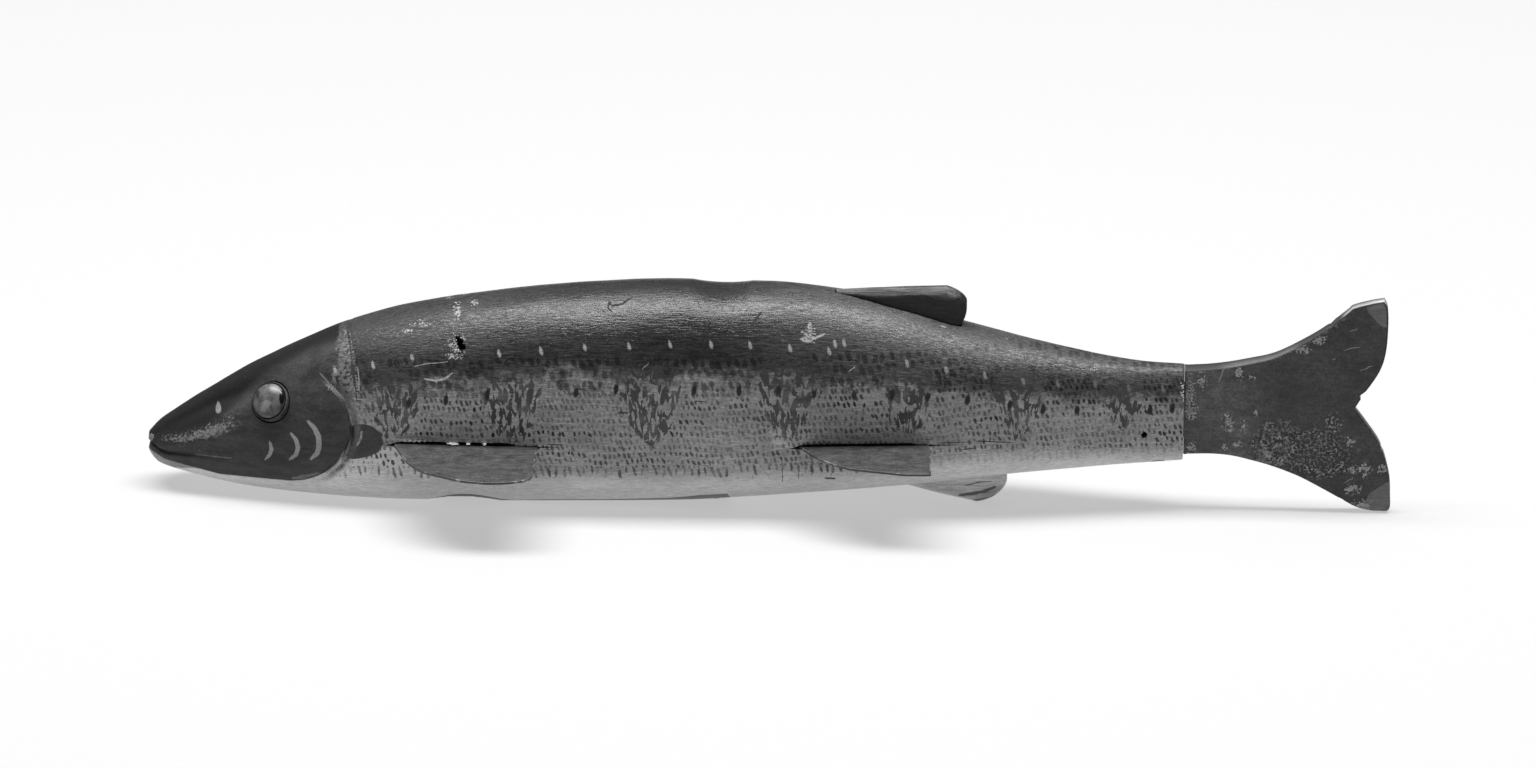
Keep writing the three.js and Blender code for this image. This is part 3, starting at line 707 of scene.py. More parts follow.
def round_cutter(name, radius, depth, place, sides, ragged=0.0, tall=1.0):
    """A cylinder along the skin's outward direction, from depth under the skin to well outside it."""
    outline = []
    for i in range(sides):
        angle = 2 * math.pi * i / sides
        reach = radius * (1 + ragged * noise.noise(Vector((2 * math.cos(angle), 2 * math.sin(angle), radius))))
        outline.append((reach * math.cos(angle), tall * reach * math.sin(angle)))
    return prism(name, outline, -depth, 2 * depth, place)


def carved_rings(fin, line_at, up, grow, stations, points):
    """Rings of a carved fin off a body line, grown on every side; up is 1 on the back and -1 underneath."""
    rings = []
    for i in range(stations + 1):
        share = min(math.sin(math.pi / 2 * i / stations), TIP_FACET)
        past = max(share - fin["crest"], 0) / (1 - fin["crest"])
        if past:
            outer = fin["tip"] + (fin["crest_rise"] - fin["tip"]) * (1 - past ** fin["outer"]) ** (1 / fin["outer"])
            inner = fin["tip"] - (fin["tip"] + CARVED_ROOT) * (1 - past ** fin["heel"]) ** (1 / fin["heel"])
        else:
            climb = (share / fin["crest"]) ** fin["rise"]
            outer = fin["front"] + (fin["crest_rise"] - fin["front"]) * climb
            inner = -CARVED_ROOT
        end = -grow if i == 0 else grow if i == stations else 0
        x = fin["at"] + share * fin["length"]
        half = float(along(THICKNESS_LINE, share)) * CARVED_THICKNESS / 2 + grow
        line = float(line_at(x))
        ends = (line + up * (outer + grow), line + up * (inner - grow))
        room = BEVEL_SHARE * min(outer - inner, 2 * half)
        bevels = (min(fin["bevel"], room), min(ROOT_BEVEL, room))
        (high, low), (high_bevel, low_bevel) = (ends, bevels) if up > 0 else (ends[::-1], bevels[::-1])
        ring = [
            (half, low + low_bevel), (half, high - high_bevel), (half - high_bevel, high), (high_bevel - half, high),
            (-half, high - high_bevel), (-half, low + low_bevel), (low_bevel - half, low), (half - low_bevel, low),
        ]
        rings.append(rounded(ring, points, x + end) if points else np.array([(x + end, y, z) for y, z in ring]))
    return rings


def rounded(ring, count, x):
    """A ring of corners walked in even steps, with its corners softened."""
    points = even_steps(ring, count)
    for _ in range(2):
        points = (np.roll(points, 1, axis=0) + 2 * points + np.roll(points, -1, axis=0)) / 4
    return np.column_stack([np.full(count, x), points])


def catmull(points, steps):
    """A smooth line through points, without the first."""
    walked = []
    for i in range(len(points) - 1):
        p0, p1 = points[max(i - 1, 0)], points[i]
        p2, p3 = points[i + 1], points[min(i + 2, len(points) - 1)]
        for step in range(1, steps + 1):
            t = step / steps
            point = []
            for k in (0, 1):
                v0, v1 = (p2[k] - p0[k]) / 2, (p3[k] - p1[k]) / 2
                cubic = (2 * p1[k] - 2 * p2[k] + v0 + v1) * t**3
                point.append(cubic + (3 * p2[k] - 3 * p1[k] - 2 * v0 - v1) * t * t + v0 * t + p1[k])
            walked.append(tuple(point))
    return walked


TAIL_ROOT_TOP = float(back_at(BODY_LENGTH)) - TAIL_TOP_STEP
TAIL_ROOT_BOTTOM = float(belly_at(BODY_LENGTH)) + TAIL_STEP


def tail_outline():
    def upper(points):
        return [(tail_x(u), TAIL_ROOT_TOP + v * TAIL_RISE) for u, v in points]

    def lower(points):
        return [(tail_x(u), TAIL_ROOT_BOTTOM + v * TAIL_DROP) for u, v in points]

    fork = (tail_x(TAIL_FORK[0]), TAIL_FORK[1])
    line = [(tail_x(0), TAIL_ROOT_TOP)]
    line += catmull(upper(UPPER_LOBE), OUTLINE_STEPS)
    line += catmull([line[-1], *upper(UPPER_REAR)], OUTLINE_STEPS)
    line.append(fork)
    line += catmull([fork, *lower(LOWER_REAR)], OUTLINE_STEPS)
    line += catmull([line[-1], *lower(LOWER_LOBE)], OUTLINE_STEPS)
    return line


def tail_x(share):
    return BODY_LENGTH + TAIL_SEAM + share * (TAIL_LENGTH - TAIL_SEAM)


def even_steps(outline, count=None, step=1.0):
    """A closed outline walked in as many even steps, or in even steps of about a length."""
    closed = np.array([*outline, outline[0]], float)
    walked = np.concatenate([[0], np.cumsum(np.hypot(*np.diff(closed, axis=0).T))])
    at = np.linspace(0, walked[-1], count or int(walked[-1] / step), endpoint=False)
    return np.column_stack([np.interp(at, walked, line) for line in closed.T])


def plate(name, outline, half_thickness, bevel, grid):
    """A plate over an outline in X and Z, centred on Y = 0, with rounded rims and a grid across its faces."""
    shape = bmesh.new()
    face = shape.faces.new([shape.verts.new((x, -half_thickness, z)) for x, z in outline])
    extruded = bmesh.ops.extrude_face_region(shape, geom=[face])["geom"]
    far = [v for v in extruded if isinstance(v, bmesh.types.BMVert)]
    bmesh.ops.translate(shape, verts=far, vec=(0, 2 * half_thickness, 0))
    bmesh.ops.recalc_face_normals(shape, faces=shape.faces)
    rims = [e for e in shape.edges if e.verts[0].co.y * e.verts[1].co.y > 0]
    bmesh.ops.bevel(shape, geom=rims, offset=bevel, segments=3, profile=0.5, affect="EDGES", clamp_overlap=True)
    low, high = np.min(outline, axis=0), np.max(outline, axis=0)
    for axis, normal in ((0, Vector((1, 0, 0))), (1, Vector((0, 0, 1)))):
        for at in np.arange(low[axis] + grid, high[axis], grid):
            everything = shape.verts[:] + shape.edges[:] + shape.faces[:]
            bmesh.ops.bisect_plane(shape, geom=everything, plane_co=normal * at, plane_no=normal, dist=1e-4)
    return released(shape, mesh_object(name, [], []))


def lathe(name, profile, sides, place):
    """Turns a profile of (radius, height) about the Y axis of a place."""
    turns = [2 * math.pi * i / sides for i in range(sides)]
    rings = [[(r * math.cos(a), height, r * math.sin(a)) for a in turns] for r, height in profile[1:-1]]
    return turned_out(loft(name, rings, [(0, profile[0][1], 0), (0, profile[-1][1], 0)]), place)


class Value:
    """A number that the nodes of a paint work out."""

    def __init__(self, paint, socket):
        self.paint, self.socket = paint, socket

    def __add__(self, other):
        return self.paint.math("ADD", self, other)

    def __sub__(self, other):
        return self.paint.math("SUBTRACT", self, other)

    def __rsub__(self, other):
        return self.paint.math("SUBTRACT", other, self)

    def __mul__(self, other):
        return self.paint.math("MULTIPLY", self, other)

    def __truediv__(self, other):
        return self.paint.math("DIVIDE", self, other)

    def fade(self, start, end, low=0.0, high=1.0):
        """Goes smoothly from low to high while the number goes from start to end."""
        made = self.paint.node("ShaderNodeMapRange", interpolation_type="SMOOTHSTEP")
        return self.paint.fed(made, self, start, end, low, high)

    def vary(self, low, high):
        """A noise with its contrast raised, from low to high."""
        return self.fade(0.3, 0.7, low, high)

    def swing(self, width):
        """A noise as a swing about nought."""
        return (self - 0.5) * width

    def lay(self, share, other):
        """Another number laid over this one, by a share from 0 to 1."""
        return self.paint.blend(share, self, other)


class Paint:
    """A material whose tones are worked out by nodes from places in millimetres and from what keep() stored."""

    def __init__(self, name):
        self.material = bpy.data.materials.new(name)
        self.material.use_nodes = True
        self.tree = self.material.node_tree
        self.shader = self.tree.nodes["Principled BSDF"]
        scaled = self.node("ShaderNodeVectorMath", operation="SCALE")
        self.link(self.node("ShaderNodeTexCoord").outputs["Object"], scaled.inputs[0])
        self.link(1 / MM, scaled.inputs["Scale"])
        self.place = scaled.outputs[0]
        split = self.node("ShaderNodeSeparateXYZ")
        self.link(self.place, split.inputs[0])
        self.x, self.y = (Value(self, socket) for socket in split.outputs[:2])

    def node(self, kind, **settings):
        made = self.tree.nodes.new(kind)
        for name, value in settings.items():
            setattr(made, name, value)
        return made

    def link(self, value, socket):
        value = getattr(value, "socket", value)
        if isinstance(value, bpy.types.NodeSocket):
            self.tree.links.new(value, socket)
        else:
            socket.default_value = value

    def fed(self, made, *values):
        """The first output of a node whose first inputs take values."""
        for value, socket in zip(values, made.inputs):
            self.link(value, socket)
        return Value(self, made.outputs[0])

    def math(self, operation, *values):
        return self.fed(self.node("ShaderNodeMath", operation=operation), *values)

    def most(self, first, *others):
        for other in others:
            first = self.math("MAXIMUM", first, other)
        return first

    def blend(self, share, a, b):
        made = self.node("ShaderNodeMix", data_type="FLOAT")
        for value, at in ((share, 0), (a, 2), (b, 3)):
            self.link(value, made.inputs[at])
        return Value(self, made.outputs[0])

    def combined(self, *parts):
        return self.fed(self.node("ShaderNodeCombineXYZ"), *parts)

    def kept(self, name):
        return Value(self, self.node("ShaderNodeAttribute", attribute_name=name).outputs["Fac"])

    def inside(self, name, ragged, soft):
        """1 inside a shape whose distance keep() stored, with an edge that a noise breaks up."""
        return (self.kept(name) + ragged).fade(soft, -soft)

    def noise(self, size, detail, seed, rough=0.5, warp=0.0, at=None):
        """Noise from 0 to 1; size is the length of its features in millimetres along each axis."""
        place = self.place if at is None else at
        for operation, by in (("MULTIPLY", [1 / s for s in size]), ("ADD", [seed] * 3)):
            place = self.fed(self.node("ShaderNodeVectorMath", operation=operation), place, by)
        made = self.node("ShaderNodeTexNoise")
        self.link(place, made.inputs["Vector"])
        for name, value in (("Scale", 1.0), ("Detail", detail), ("Roughness", rough), ("Distortion", warp)):
            made.inputs[name].default_value = value
        return Value(self, made.outputs["Fac"])

    def grit(self, size, low, high, detail, seed, rough=0.5):
        return self.noise(size, detail, seed, rough).vary(low, high)

    def finish(self, tone, rough, height, **flat):
        """Links tone, roughness and a height in millimetres, and sets the plain values."""
        self.link(tone, self.shader.inputs["Base Color"])
        self.link(rough, self.shader.inputs["Roughness"])
        bump = self.node("ShaderNodeBump")
        bump.inputs["Distance"].default_value = MM
        self.link(height, bump.inputs["Height"])
        self.link(bump.outputs[0], self.shader.inputs["Normal"])
        for name, value in flat.items():
            self.shader.inputs[name].default_value = value
        return self.material


def chances(p, dimensions, *cell):
    """Four chances from 0 to 1 for each cell."""
    made = p.node("ShaderNodeTexWhiteNoise", noise_dimensions=dimensions)
    p.link(p.combined(*cell), made.inputs["Vector"])
    parts = p.node("ShaderNodeSeparateColor")
    p.link(made.outputs["Color"], parts.inputs[0])
    return [Value(p, socket) for socket in (made.outputs["Value"], *parts.outputs)]


def scale_ticks(p, across_rows, pitch, row_pitch, half_width, half_height, lean, seed, slant=0.5):
    """Rows of short brush ticks; returns 1 in a tick and 0 between them."""
    rows = (across_rows + p.noise((16, 16, 16), 1, seed).swing(2.2)) / row_pitch
    row = p.math("FLOOR", rows)
    up = p.math("FRACT", rows) - 0.5
    flank = p.y.fade(-0.01, 0.01) * 41.0 + seed
    start, _, force, _ = chances(p, "2D", row, flank)
    steps = p.x / pitch + start * 9.0 + up * lean
    across = p.math("FRACT", steps) - 0.5
    _, first, second, third = chances(p, "3D", p.math("FLOOR", steps), row, flank)
    v = (up + second.swing(0.4)) * (row_pitch / half_height)
    u = (across + first.swing(0.36)) * (pitch / half_width)
    u = u + v * third.swing(2 * slant)
    size = (second + third).fade(0.2, 1.8, 0.75, 1.25)
    distance = p.math("SQRT", u * u + v * v) / size
    inside = (distance + p.noise((0.4, 0.4, 0.4), 1, seed + 3).swing(1.3)).fade(1.15, 0.85)
    return inside * third.fade(-0.1, 0.35) * (force * 0.45 + 0.65)


def stroke(p, name, roughness, soft=0.25):
    """1 in the strokes that keep_strokes() stored under a name, with an edge that a noise breaks up."""
    across = p.math("ABSOLUTE", p.kept(name)) + roughness
    return across.fade(1 + soft, 1 - soft) * p.kept(f"{name}_beside").fade(0.35, 0.65)


def body_paint():
    p = Paint("body_paint")
    grain = p.noise((5, 0.5, 0.5), 3, 2, 0.6, 0.4)
    fine = p.noise((2.2, 0.26, 0.26), 2, 3, 0.6)
    speckle = p.noise((0.5, 0.42, 0.42), 2, 4, 0.65)
    blotch = p.noise((1.6, 1.1, 1.1), 3, 5, 0.65)
    ragged = blotch.swing(1.2)
    crumb = speckle.fade(0.32, 0.68)
    streaks = fine.vary(0.82, 1.16)
    dusty = speckle.vary(0.82, 1.2)

    # Back, flank and belly
    down = p.kept("down")
    patches = p.noise((3.4, 2.2, 2.2), 2, 12, 0.6).swing(1.2)
    soft = (down + patches * down * (1 - down) * 4).fade(0.05, 0.95)
    lines = p.blend(soft, p.grit((3.5, 0.24, 0.24), 0.6, 1.5, 3, 17, 0.6), 1.0)
    # The flank is paler low down, and lifted by painted fill light above the side fins
    base = p.blend(soft, p.kept("back_tone"), p.kept("lift") * TONE["flank"])
    base = base * p.grit((22, 8, 8), 0.84, 1.18, 2, 1) * streaks * dusty * grain.vary(0.86, 1.12) * lines
    under = ((p.kept("belly") + ragged * 0.5) / p.kept("belly_soft")).fade(0.5, -0.5)
    belly = p.grit((20, 6, 6), 0.9, 1.08, 2, 13) * TONE["belly"] * streaks * speckle.vary(0.92, 1.08)
    tone = base.lay(under, belly)

    # Brushed parr clusters
    envelope = p.kept("parr")
    flank = p.y.fade(-0.01, 0.01) * 31.0
    brush = p.noise((0.9, 2.2, 0.86), 1.8, 7, 0.5, 0.6, p.combined(p.kept("stroke_x"), p.kept("stroke_z"), flank))
    cover = envelope.fade(-0.1, 0.8, 0.575, 0.482) + p.kept("stroke_z").fade(-1, -7) * -0.05
    parr = (brush + speckle.swing(0.07)).fade(cover - 0.014, cover + 0.014)
    parr = parr * (envelope + ragged * 1.1).fade(0.05, 0.15) * p.grit((3, 3, 3), 0.72, 1.08, 1, 9)

    # Rows of scale ticks, long ticks along the belly and dabs below the back
    level = p.kept("level")
    ticks = scale_ticks(p, level, 1.02, 1.34, 0.27, 0.46, 0.2, 11)
    ticks = ticks * p.grit((12, 5, 5), 0.6, 1.15, 1, 6) * level.fade(1.7, 2.4) * level.fade(21, 17)
    long_ticks = scale_ticks(p, level, 1.42, 2.5, 0.28, 0.95, 0.12, 23, 1.1)
    long_ticks = long_ticks * level.fade(-0.3, 0.2) * level.fade(2.8, 2.2) * p.kept("long_room")
    long_ticks = long_ticks * p.grit((2.6, 2.6, 2.6), 0.6, 1.25, 1, 24)
    dabs = scale_ticks(p, level, 1.7, 2.2, 0.5, 0.85, 0.2, 37, 0.6) * level.fade(14.5, 18) * level.fade(26, 23)
    ticks = p.most(ticks, long_ticks, dabs * 0.75) * p.kept("tick_room") * envelope.fade(0.25, -0.05)
    tone = tone * (ticks * -0.8 + 1)
    tone = tone.lay(p.math("MINIMUM", parr, 0.95), dusty * TONE["parr"])
    tone = tone.lay(p.inside("marks", ragged * 0.35, 0.14), TONE["mark"])

    # Head, nape and the spots painted over them
    head = p.inside("head", ragged * 0.12, 0.1)
    head_tone = p.kept("head_tone") * p.grit((7, 2, 2), 0.62, 1.4, 3, 14, 0.6) * streaks * dusty
    # The light band on the snout is a painted highlight
    band = (p.kept("band") + speckle.swing(2.0)).fade(0.3, 0.95)
    tone = tone.lay(head, head_tone.lay(band, streaks * TONE["snout_band"]))
    nape = (p.kept("nape") + ragged * 3).fade(0.7, -0.9)
    mottle = p.noise((0.9, 0.8, 0.8), 4, 15, 0.75)
    tone = tone.lay(nape * mottle.fade(0.44, 0.55), streaks * dusty * TONE["nape"])
    tone = tone.lay(nape * (mottle + p.kept("nape") * 0.03).fade(0.42, 0.36), TONE["nape_pit"])
    tone = tone.lay(p.inside("patch", ragged * 0.2, 0.12), dusty * TONE["shoulder"])
    tone = tone.lay(p.kept("ramp") * blotch.fade(0.3, 0.6, 0.6, 1), streaks * dusty * TONE["gill_ramp"])
    dots = p.inside("dots", ragged * 0.22, 0.12) * speckle.fade(0.25, 0.5, 0.45, 1) * p.kept("dot_force")
    tone = tone.lay(dots, TONE["dot"])
    tone = tone.lay(p.inside("crescents", ragged * 0.1, 0.1), dusty * TONE["crescent"])

    # Wear, scratches, painted highlights on the gill step, a painted shadow where the belly rests, and painted shade
    # deep in the cuts
    ragged_edge = speckle.swing(1.4)
    chips = (p.kept("worn") * 0.8 + crumb * 0.75 + blotch.swing(1.1)).fade(0.9, 1.02)
    tone = tone.lay(chips, fine.vary(0.5, 1.3) * p.kept("chip_tone") * TONE["chip"])
    rubbed = stroke(p, "rubbed", ragged_edge * 1.6, 0.5) * blotch.fade(0.3, 0.55, 0.5, 0.95)
    tone = tone.lay(rubbed, streaks * p.kept("chip_tone") * TONE["rubbed"])
    # Light scratches, and painted highlights along the edges of the gill step
    scratch = stroke(p, "light_lines", ragged_edge, 0.4)
    tone = tone.lay(scratch * crumb.fade(0, 0.7, 0.3, 1), TONE["scratch"])
    crack = stroke(p, "dark_lines", ragged_edge)
    tone = tone.lay(crack * 0.88, TONE["crack"])
    # Painted shadow along the lowest edge, where the belly rests on the floor
    tone = tone.lay((p.kept("contact") + speckle.swing(0.4)).fade(-0.06, 0.1) * 0.85, TONE["contact"])
    filler = p.kept("filler")
    tone = tone.lay(filler * speckle.fade(0.3, 0.5), TONE["filler"])
    # Painted shade deep inside the cuts, darker the deeper the surface lies below the skin
    deep = p.kept("depth").fade(0.15, 0.9)
    tone = tone.lay(deep * filler.fade(0.6, 0.1), TONE["raw"])

    matt = (p.noise((2.2, 0.42, 0.42), 4, 18, 0.74) + p.kept("matt")).fade(0.4, 0.66)
    gloss = p.blend(matt, p.grit((7, 2.4, 2.4), 0.22, 0.32, 2, 16), 0.7)
    gloss = gloss.lay(under, 0.42).lay(head, p.kept("head_gloss"))
    worn = p.most(chips, deep, nape, crack, filler * 0.8)
    rough = (gloss + grain.swing(0.2) + speckle.swing(0.24)).lay(worn, 0.75)
    height = (grain * 0.06 + fine * 0.075 + speckle * 0.045) * p.kept("grainy")
    height = height + blotch * 0.02 + dots * 0.02 + parr * 0.008 + chips * -0.05 + scratch * -0.05 + crack * -0.1
    return p.finish(tone, rough, height, **{"Specular IOR Level": 0.3})


def tail_paint():
    p = Paint("tail_paint")
    grain = p.noise((4, 0.4, 0.4), 3, 32, 0.62, 0.9)
    speckle = p.noise((0.42, 0.4, 0.4), 2, 33, 0.65)
    blotch = p.noise((1.7, 1.3, 1.3), 3, 34, 0.65)
    crumb = speckle.fade(0.32, 0.68)
    streaks = grain.fade(0.32, 0.68, 0.82, 1.2)
    tone = p.grit((9, 6, 6), 0.72, 1.3, 2, 31) * TONE["tail"] * streaks * speckle.vary(0.66, 1.4)
    tone = tone * p.x.fade(108, 92, 1, 2) * blotch.vary(0.72, 1.32)
    tips = p.inside("tips", blotch.swing(0.35), 0.09)
    tone = tone.lay(tips, streaks * blotch.fade(0.35, 0.6, 0.8, 1) * TONE["tail_tip"])
    flaking = (p.kept("flaking") + blotch.swing(1.3)).fade(-0.1, 0.35)
    flaking = flaking * p.grit((2.6, 2.2, 2.2), 0.35, 1, 2, 37)
    grit = p.noise((0.55, 0.5, 0.5), 3, 36, 0.8)
    pits = flaking * grit.fade(0.5, 0.455)
    flakes = flaking * grit.fade(0.53, 0.575)
    tone = tone.lay(pits, TONE["tail_pit"]).lay(flakes, TONE["chip"])
    chips = (p.kept("worn") + crumb * 0.65 + blotch.swing(1.1)).fade(0.76, 0.96)
    tone = tone.lay(chips, (crumb * 0.75 + 0.35) * TONE["chip"])
    tone = tone.lay(stroke(p, "light_lines", speckle.swing(1.6), 0.4) * 0.8, TONE["tail_scratch"])
    tone = tone.lay(p.kept("top_wear") * (speckle + grain.swing(0.5)).fade(0.42, 0.58), TONE["top_wear"])
    edge = (p.kept("edge") + speckle.swing(0.5)).fade(0.4, 0.6)
    tone = tone.lay(edge, p.kept("edge_tone") * grain.fade(0.32, 0.68, 0.7, 1.25))
    tone = tone.lay(p.kept("nail").fade(0.12, -0.08), TONE["nail"])
    rough = (grain.swing(0.2) + 0.36 + speckle.swing(0.2)).lay(p.most(chips, flakes, edge), 0.72)
    height = grain * 0.06 + speckle * 0.024 + blotch * 0.02 + chips * -0.05 + flakes * 0.03 + pits * -0.06
    return p.finish(tone, rough, height, **{"Specular IOR Level": 0.35})


def dorsal_paint():
    p = Paint("dorsal_paint")
    grain = p.noise((6, 0.4, 0.4), 3, 51, 0.6, 0.6)
    speckle = p.noise((0.42, 0.42, 0.42), 2, 52, 0.6)
    blotch = p.noise((4, 0.9, 0.9), 3, 53, 0.6)
    # The upward facet carries a painted highlight, streaked along the fin
    upper = (p.kept("facet") + blotch.swing(0.5)).fade(0.35, 0.65)
    streaks = (grain * 0.6 + blotch * 0.4).fade(0.42, 0.6)
    tone = grain.vary(0.6, 1.5) * speckle.vary(0.75, 1.25) * TONE["dorsal"]
    tone = tone.lay(upper, p.blend(streaks, *TONE["dorsal_facet"]) * speckle.vary(0.8, 1.2))
    rough = speckle.swing(0.16) + 0.4 + grain.swing(0.2)
    return p.finish(tone, rough, grain * 0.07 + blotch * 0.03 + speckle * 0.012, **{"Specular IOR Level": 0.22})


def anal_paint():
    p = Paint("anal_paint")
    grain = p.noise((6, 0.4, 0.4), 3, 61, 0.6, 0.5)
    speckle = p.noise((0.42, 0.42, 0.42), 2, 62, 0.6)
    tone = p.grit((7, 3, 3), 0.84, 1.1, 2, 63, 0.6) * TONE["belly"] * grain.vary(0.72, 1.14) * speckle.vary(0.9, 1.08)
    # Painted shade on the lower rear of the fin, where its bevel faces down
    tone = tone.lay((p.kept("facet") + grain.swing(1.0)).fade(0.2, 0.9, 0, 0.68), TONE["anal_facet"])
    streak = stroke(p, "streaks", grain.swing(2.2) + speckle.swing(1.2), 0.35)
    tone = tone.lay(streak * 0.9, TONE["anal_streak"])
    height = grain * 0.07 + streak * -0.05 + speckle * 0.01
    return p.finish(tone, speckle.swing(0.16) + 0.42, height, **{"Coat Weight": 0.08, "Coat Roughness": 0.3})


def fin_paint():
    p = Paint("fin_paint")
    speckle = p.noise((0.42, 0.42, 0.42), 2, 72, 0.65)
    swirl = p.noise((4, 0.9, 0.9), 3, 73, 0.62, 1.6)
    blotch = p.noise((3, 2.2, 2.2), 3, 75, 0.65)
    tone = blotch.vary(0.7, 1.3) * swirl.fade(0.34, 0.66, 0.72, 1.28) * speckle.vary(0.72, 1.32) * TONE["fin"]
    chips = (p.kept("edge") + speckle.swing(1.2) + p.grit((3, 3, 3), -0.6, 0.15, 1, 74)).fade(1.02, 1.17)
    tone = tone.lay(p.kept("rim") * 0.85, TONE["fin_rim"]).lay(chips, TONE["fin_chip"])
    rough = swirl.swing(0.3) + 0.4 + speckle.swing(0.14)
    height = swirl * 0.06 + speckle * 0.02 + blotch * 0.02
    return p.finish(tone, rough, height, **{"Coat Weight": 0.06, "Coat Roughness": 0.35})


def lead_finish():
    p = Paint("lead_finish")
    coarse = p.noise((5, 5, 5), 3, 81, 0.65)
    speckle = p.noise((0.4, 0.4, 0.4), 3, 82, 0.65)
    pits = p.noise((0.9, 0.9, 0.9), 2, 83).fade(0.62, 0.72)
    tone = (coarse * 0.6 + 0.6) * (speckle * 0.4 + 0.8) * TONE["lead"]
    tone = tone.lay(pits * 0.6, TONE["lead_pit"])
    height = coarse * 0.08 + speckle * 0.02 + pits * -0.08
    return p.finish(tone, coarse * 0.2 + 0.5 + pits * 0.15, height, Metallic=0.85)


def eye_finish():
    p = Paint("eye_finish")
    speckle = p.noise((0.3, 0.3, 0.3), 2, 91, 0.6)
    tone = p.grit((1.5, 1.5, 1.5), 0.6, 1.3, 2, 92, 0.6) * TONE["eye"] * speckle.vary(0.85, 1.15)
    # Painted highlights and reflections on the dome, then painted shade round it
    tone = tone.lay((p.kept("pale") + speckle.swing(1.2)).fade(0.5, 0.9, 0, 0.75), TONE["eye_pale"])
    tone = tone.lay(p.kept("rim"), p.kept("rim_tone") * speckle.vary(0.6, 1.4))
    tone = tone.lay((p.kept("shades") + speckle.swing(0.8)).fade(0.2, 0.6, 0, 0.85), TONE["eye_shade"])
    pupil = p.inside("pupil", speckle.swing(0.12), 0.12)
    tone = tone.lay(p.kept("groove"), TONE["eye_groove"]).lay(pupil, TONE["pupil"])
    rough = (p.kept("rim") * 0.2 + 0.3 + speckle * 0.12).lay(pupil, 0.14)
    height = speckle * 0.012 + p.noise((1.2, 1.2, 1.2), 2, 93) * 0.03
    return p.finish(tone, rough, height, **{"Specular IOR Level": 0.32, "Coat Weight": 0.0})


def scooped(x, scoop):
    """How deep a scoop is at places along the body."""
    return scoop["depth"] * np.maximum(1 - ((x - scoop["at"]) / (scoop["length"] / 2)) ** 2, 0)


def build_body():
    rings = body_skin()
    points = rings.reshape(-1, 3)
    outward = outward_normals(rings).reshape(-1, 3)
    uneven = bumps(points, (22, 7, 7), 0.16, 5) + bumps(points, (6, 3.2, 3.2), 0.05, 9)
    calm = smooth(points[:, 2], 0.2, 2.5) * smooth(points[:, 0], 0, 4)
    inset = 0.14 * (1 - np.sqrt(1 - smooth(points[:, 0], BODY_LENGTH - 0.6, BODY_LENGTH) ** 2))
    moved = points + outward * ((uneven - 0.06) * calm - body_relief(points))[:, None]
    x, y, z = moved.T
    y -= np.sign(y) * np.minimum(inset, np.abs(y) / 2)
    z -= np.sign(z - float(section_at(BODY_LENGTH)[2])) * inset
    x[:] = np.clip(x, 0, BODY_LENGTH)
    z[:] = np.maximum(z, scooped(x, BELLY_SCOOP))
    z -= scooped(x, BACK_SCOOP) * np.exp(-((y / BACK_SCOOP["spread"]) ** 2)) * (z > BODY_HEIGHT / 2)
    made = loft("painted_body", moved.reshape(rings.shape))

    slot = TONGUE_THICKNESS / 2 + FIT_GAP
    upright = Matrix.Rotation(math.pi / 2, 4, "X")
    nail = TAIL_NAIL_HOLE
    nail_place = flank_frame(nail["at"], nail["level"], -1)
    cutters = [
        loft("dorsal_slot", carved_rings(DORSAL, back_at, 1, FIT_GAP, 48, 0)),
        loft("anal_slot", carved_rings(ANAL, belly_at, -1, FIT_GAP, 48, 0)),
        prism("tongue_slot", tongue_outline(FIT_GAP), -slot, slot),
        prism("weight_recess", weight_plan(FIT_GAP), -1, WEIGHT_DEPTH + FIT_GAP, upright),
        round_cutter("nail_hole", nail["diameter"] / 2, nail["depth"], nail_place, 24, 0.25),
    ]
    for x, z, radius, tall in FLANK_HOLE:
        cutters.append(round_cutter("flank_hole", radius, FLANK_HOLE_DEPTH, flank_frame(x, z, -1), 36, 0.7, tall))
    for side in (-1, 1):
        seat = flank_frame(EYE_AT, EYE_LEVEL, side)
        cutters.append(round_cutter("socket", EYE_DIAMETER / 2 + FIT_GAP, EYE_SEAT + FIT_GAP, seat, 72))
        cutters += [kerf_cutter(fin, side) for fin in (PECTORAL, PELVIC)]
    cut(made, cutters)
    cut(made, filler_lumps(), "UNION")
    store_body_paint(made)
    finished(made, "body", body_paint(), 40)


def strokes_near(px, py, strokes):
    """Signed place across the nearest of several strokes of (half width, path) in pixels, as a share of its
    half width, and 1 beside that stroke or 0 beyond its ends."""
    nearest, across, beside = np.full(px.shape, 99.0), np.full(px.shape, 9.0), np.zeros(px.shape)
    for width, path in strokes:
        distance, share, side = near_path(px, py, path)
        half = width * (0.4 + 0.6 * np.sqrt(4 * share * (1 - share)))
        closer = distance - half < nearest
        nearest = np.where(closer, distance - half, nearest)
        across = np.where(closer, np.clip(side * distance / half, -9, 9), across)
        beside = np.where(closer, smooth(distance - half, 3, 2) * (share > 0) * (share < 1), beside)
    return across, beside


def keep_strokes(target, name, px, py, strokes, shown):
    across, beside = strokes_near(px, py, strokes)
    keep(target, **{name: across, f"{name}_beside": beside * shown})


def ovals_near(px, py, ovals):
    """1 in the middle of the nearest of several ovals of (x, y, half width, half height), 0 on its rim."""
    return np.clip(np.max([1 - np.hypot((px - x) / w, (py - y) / h) for x, y, w, h in ovals], axis=0), -1, 1)


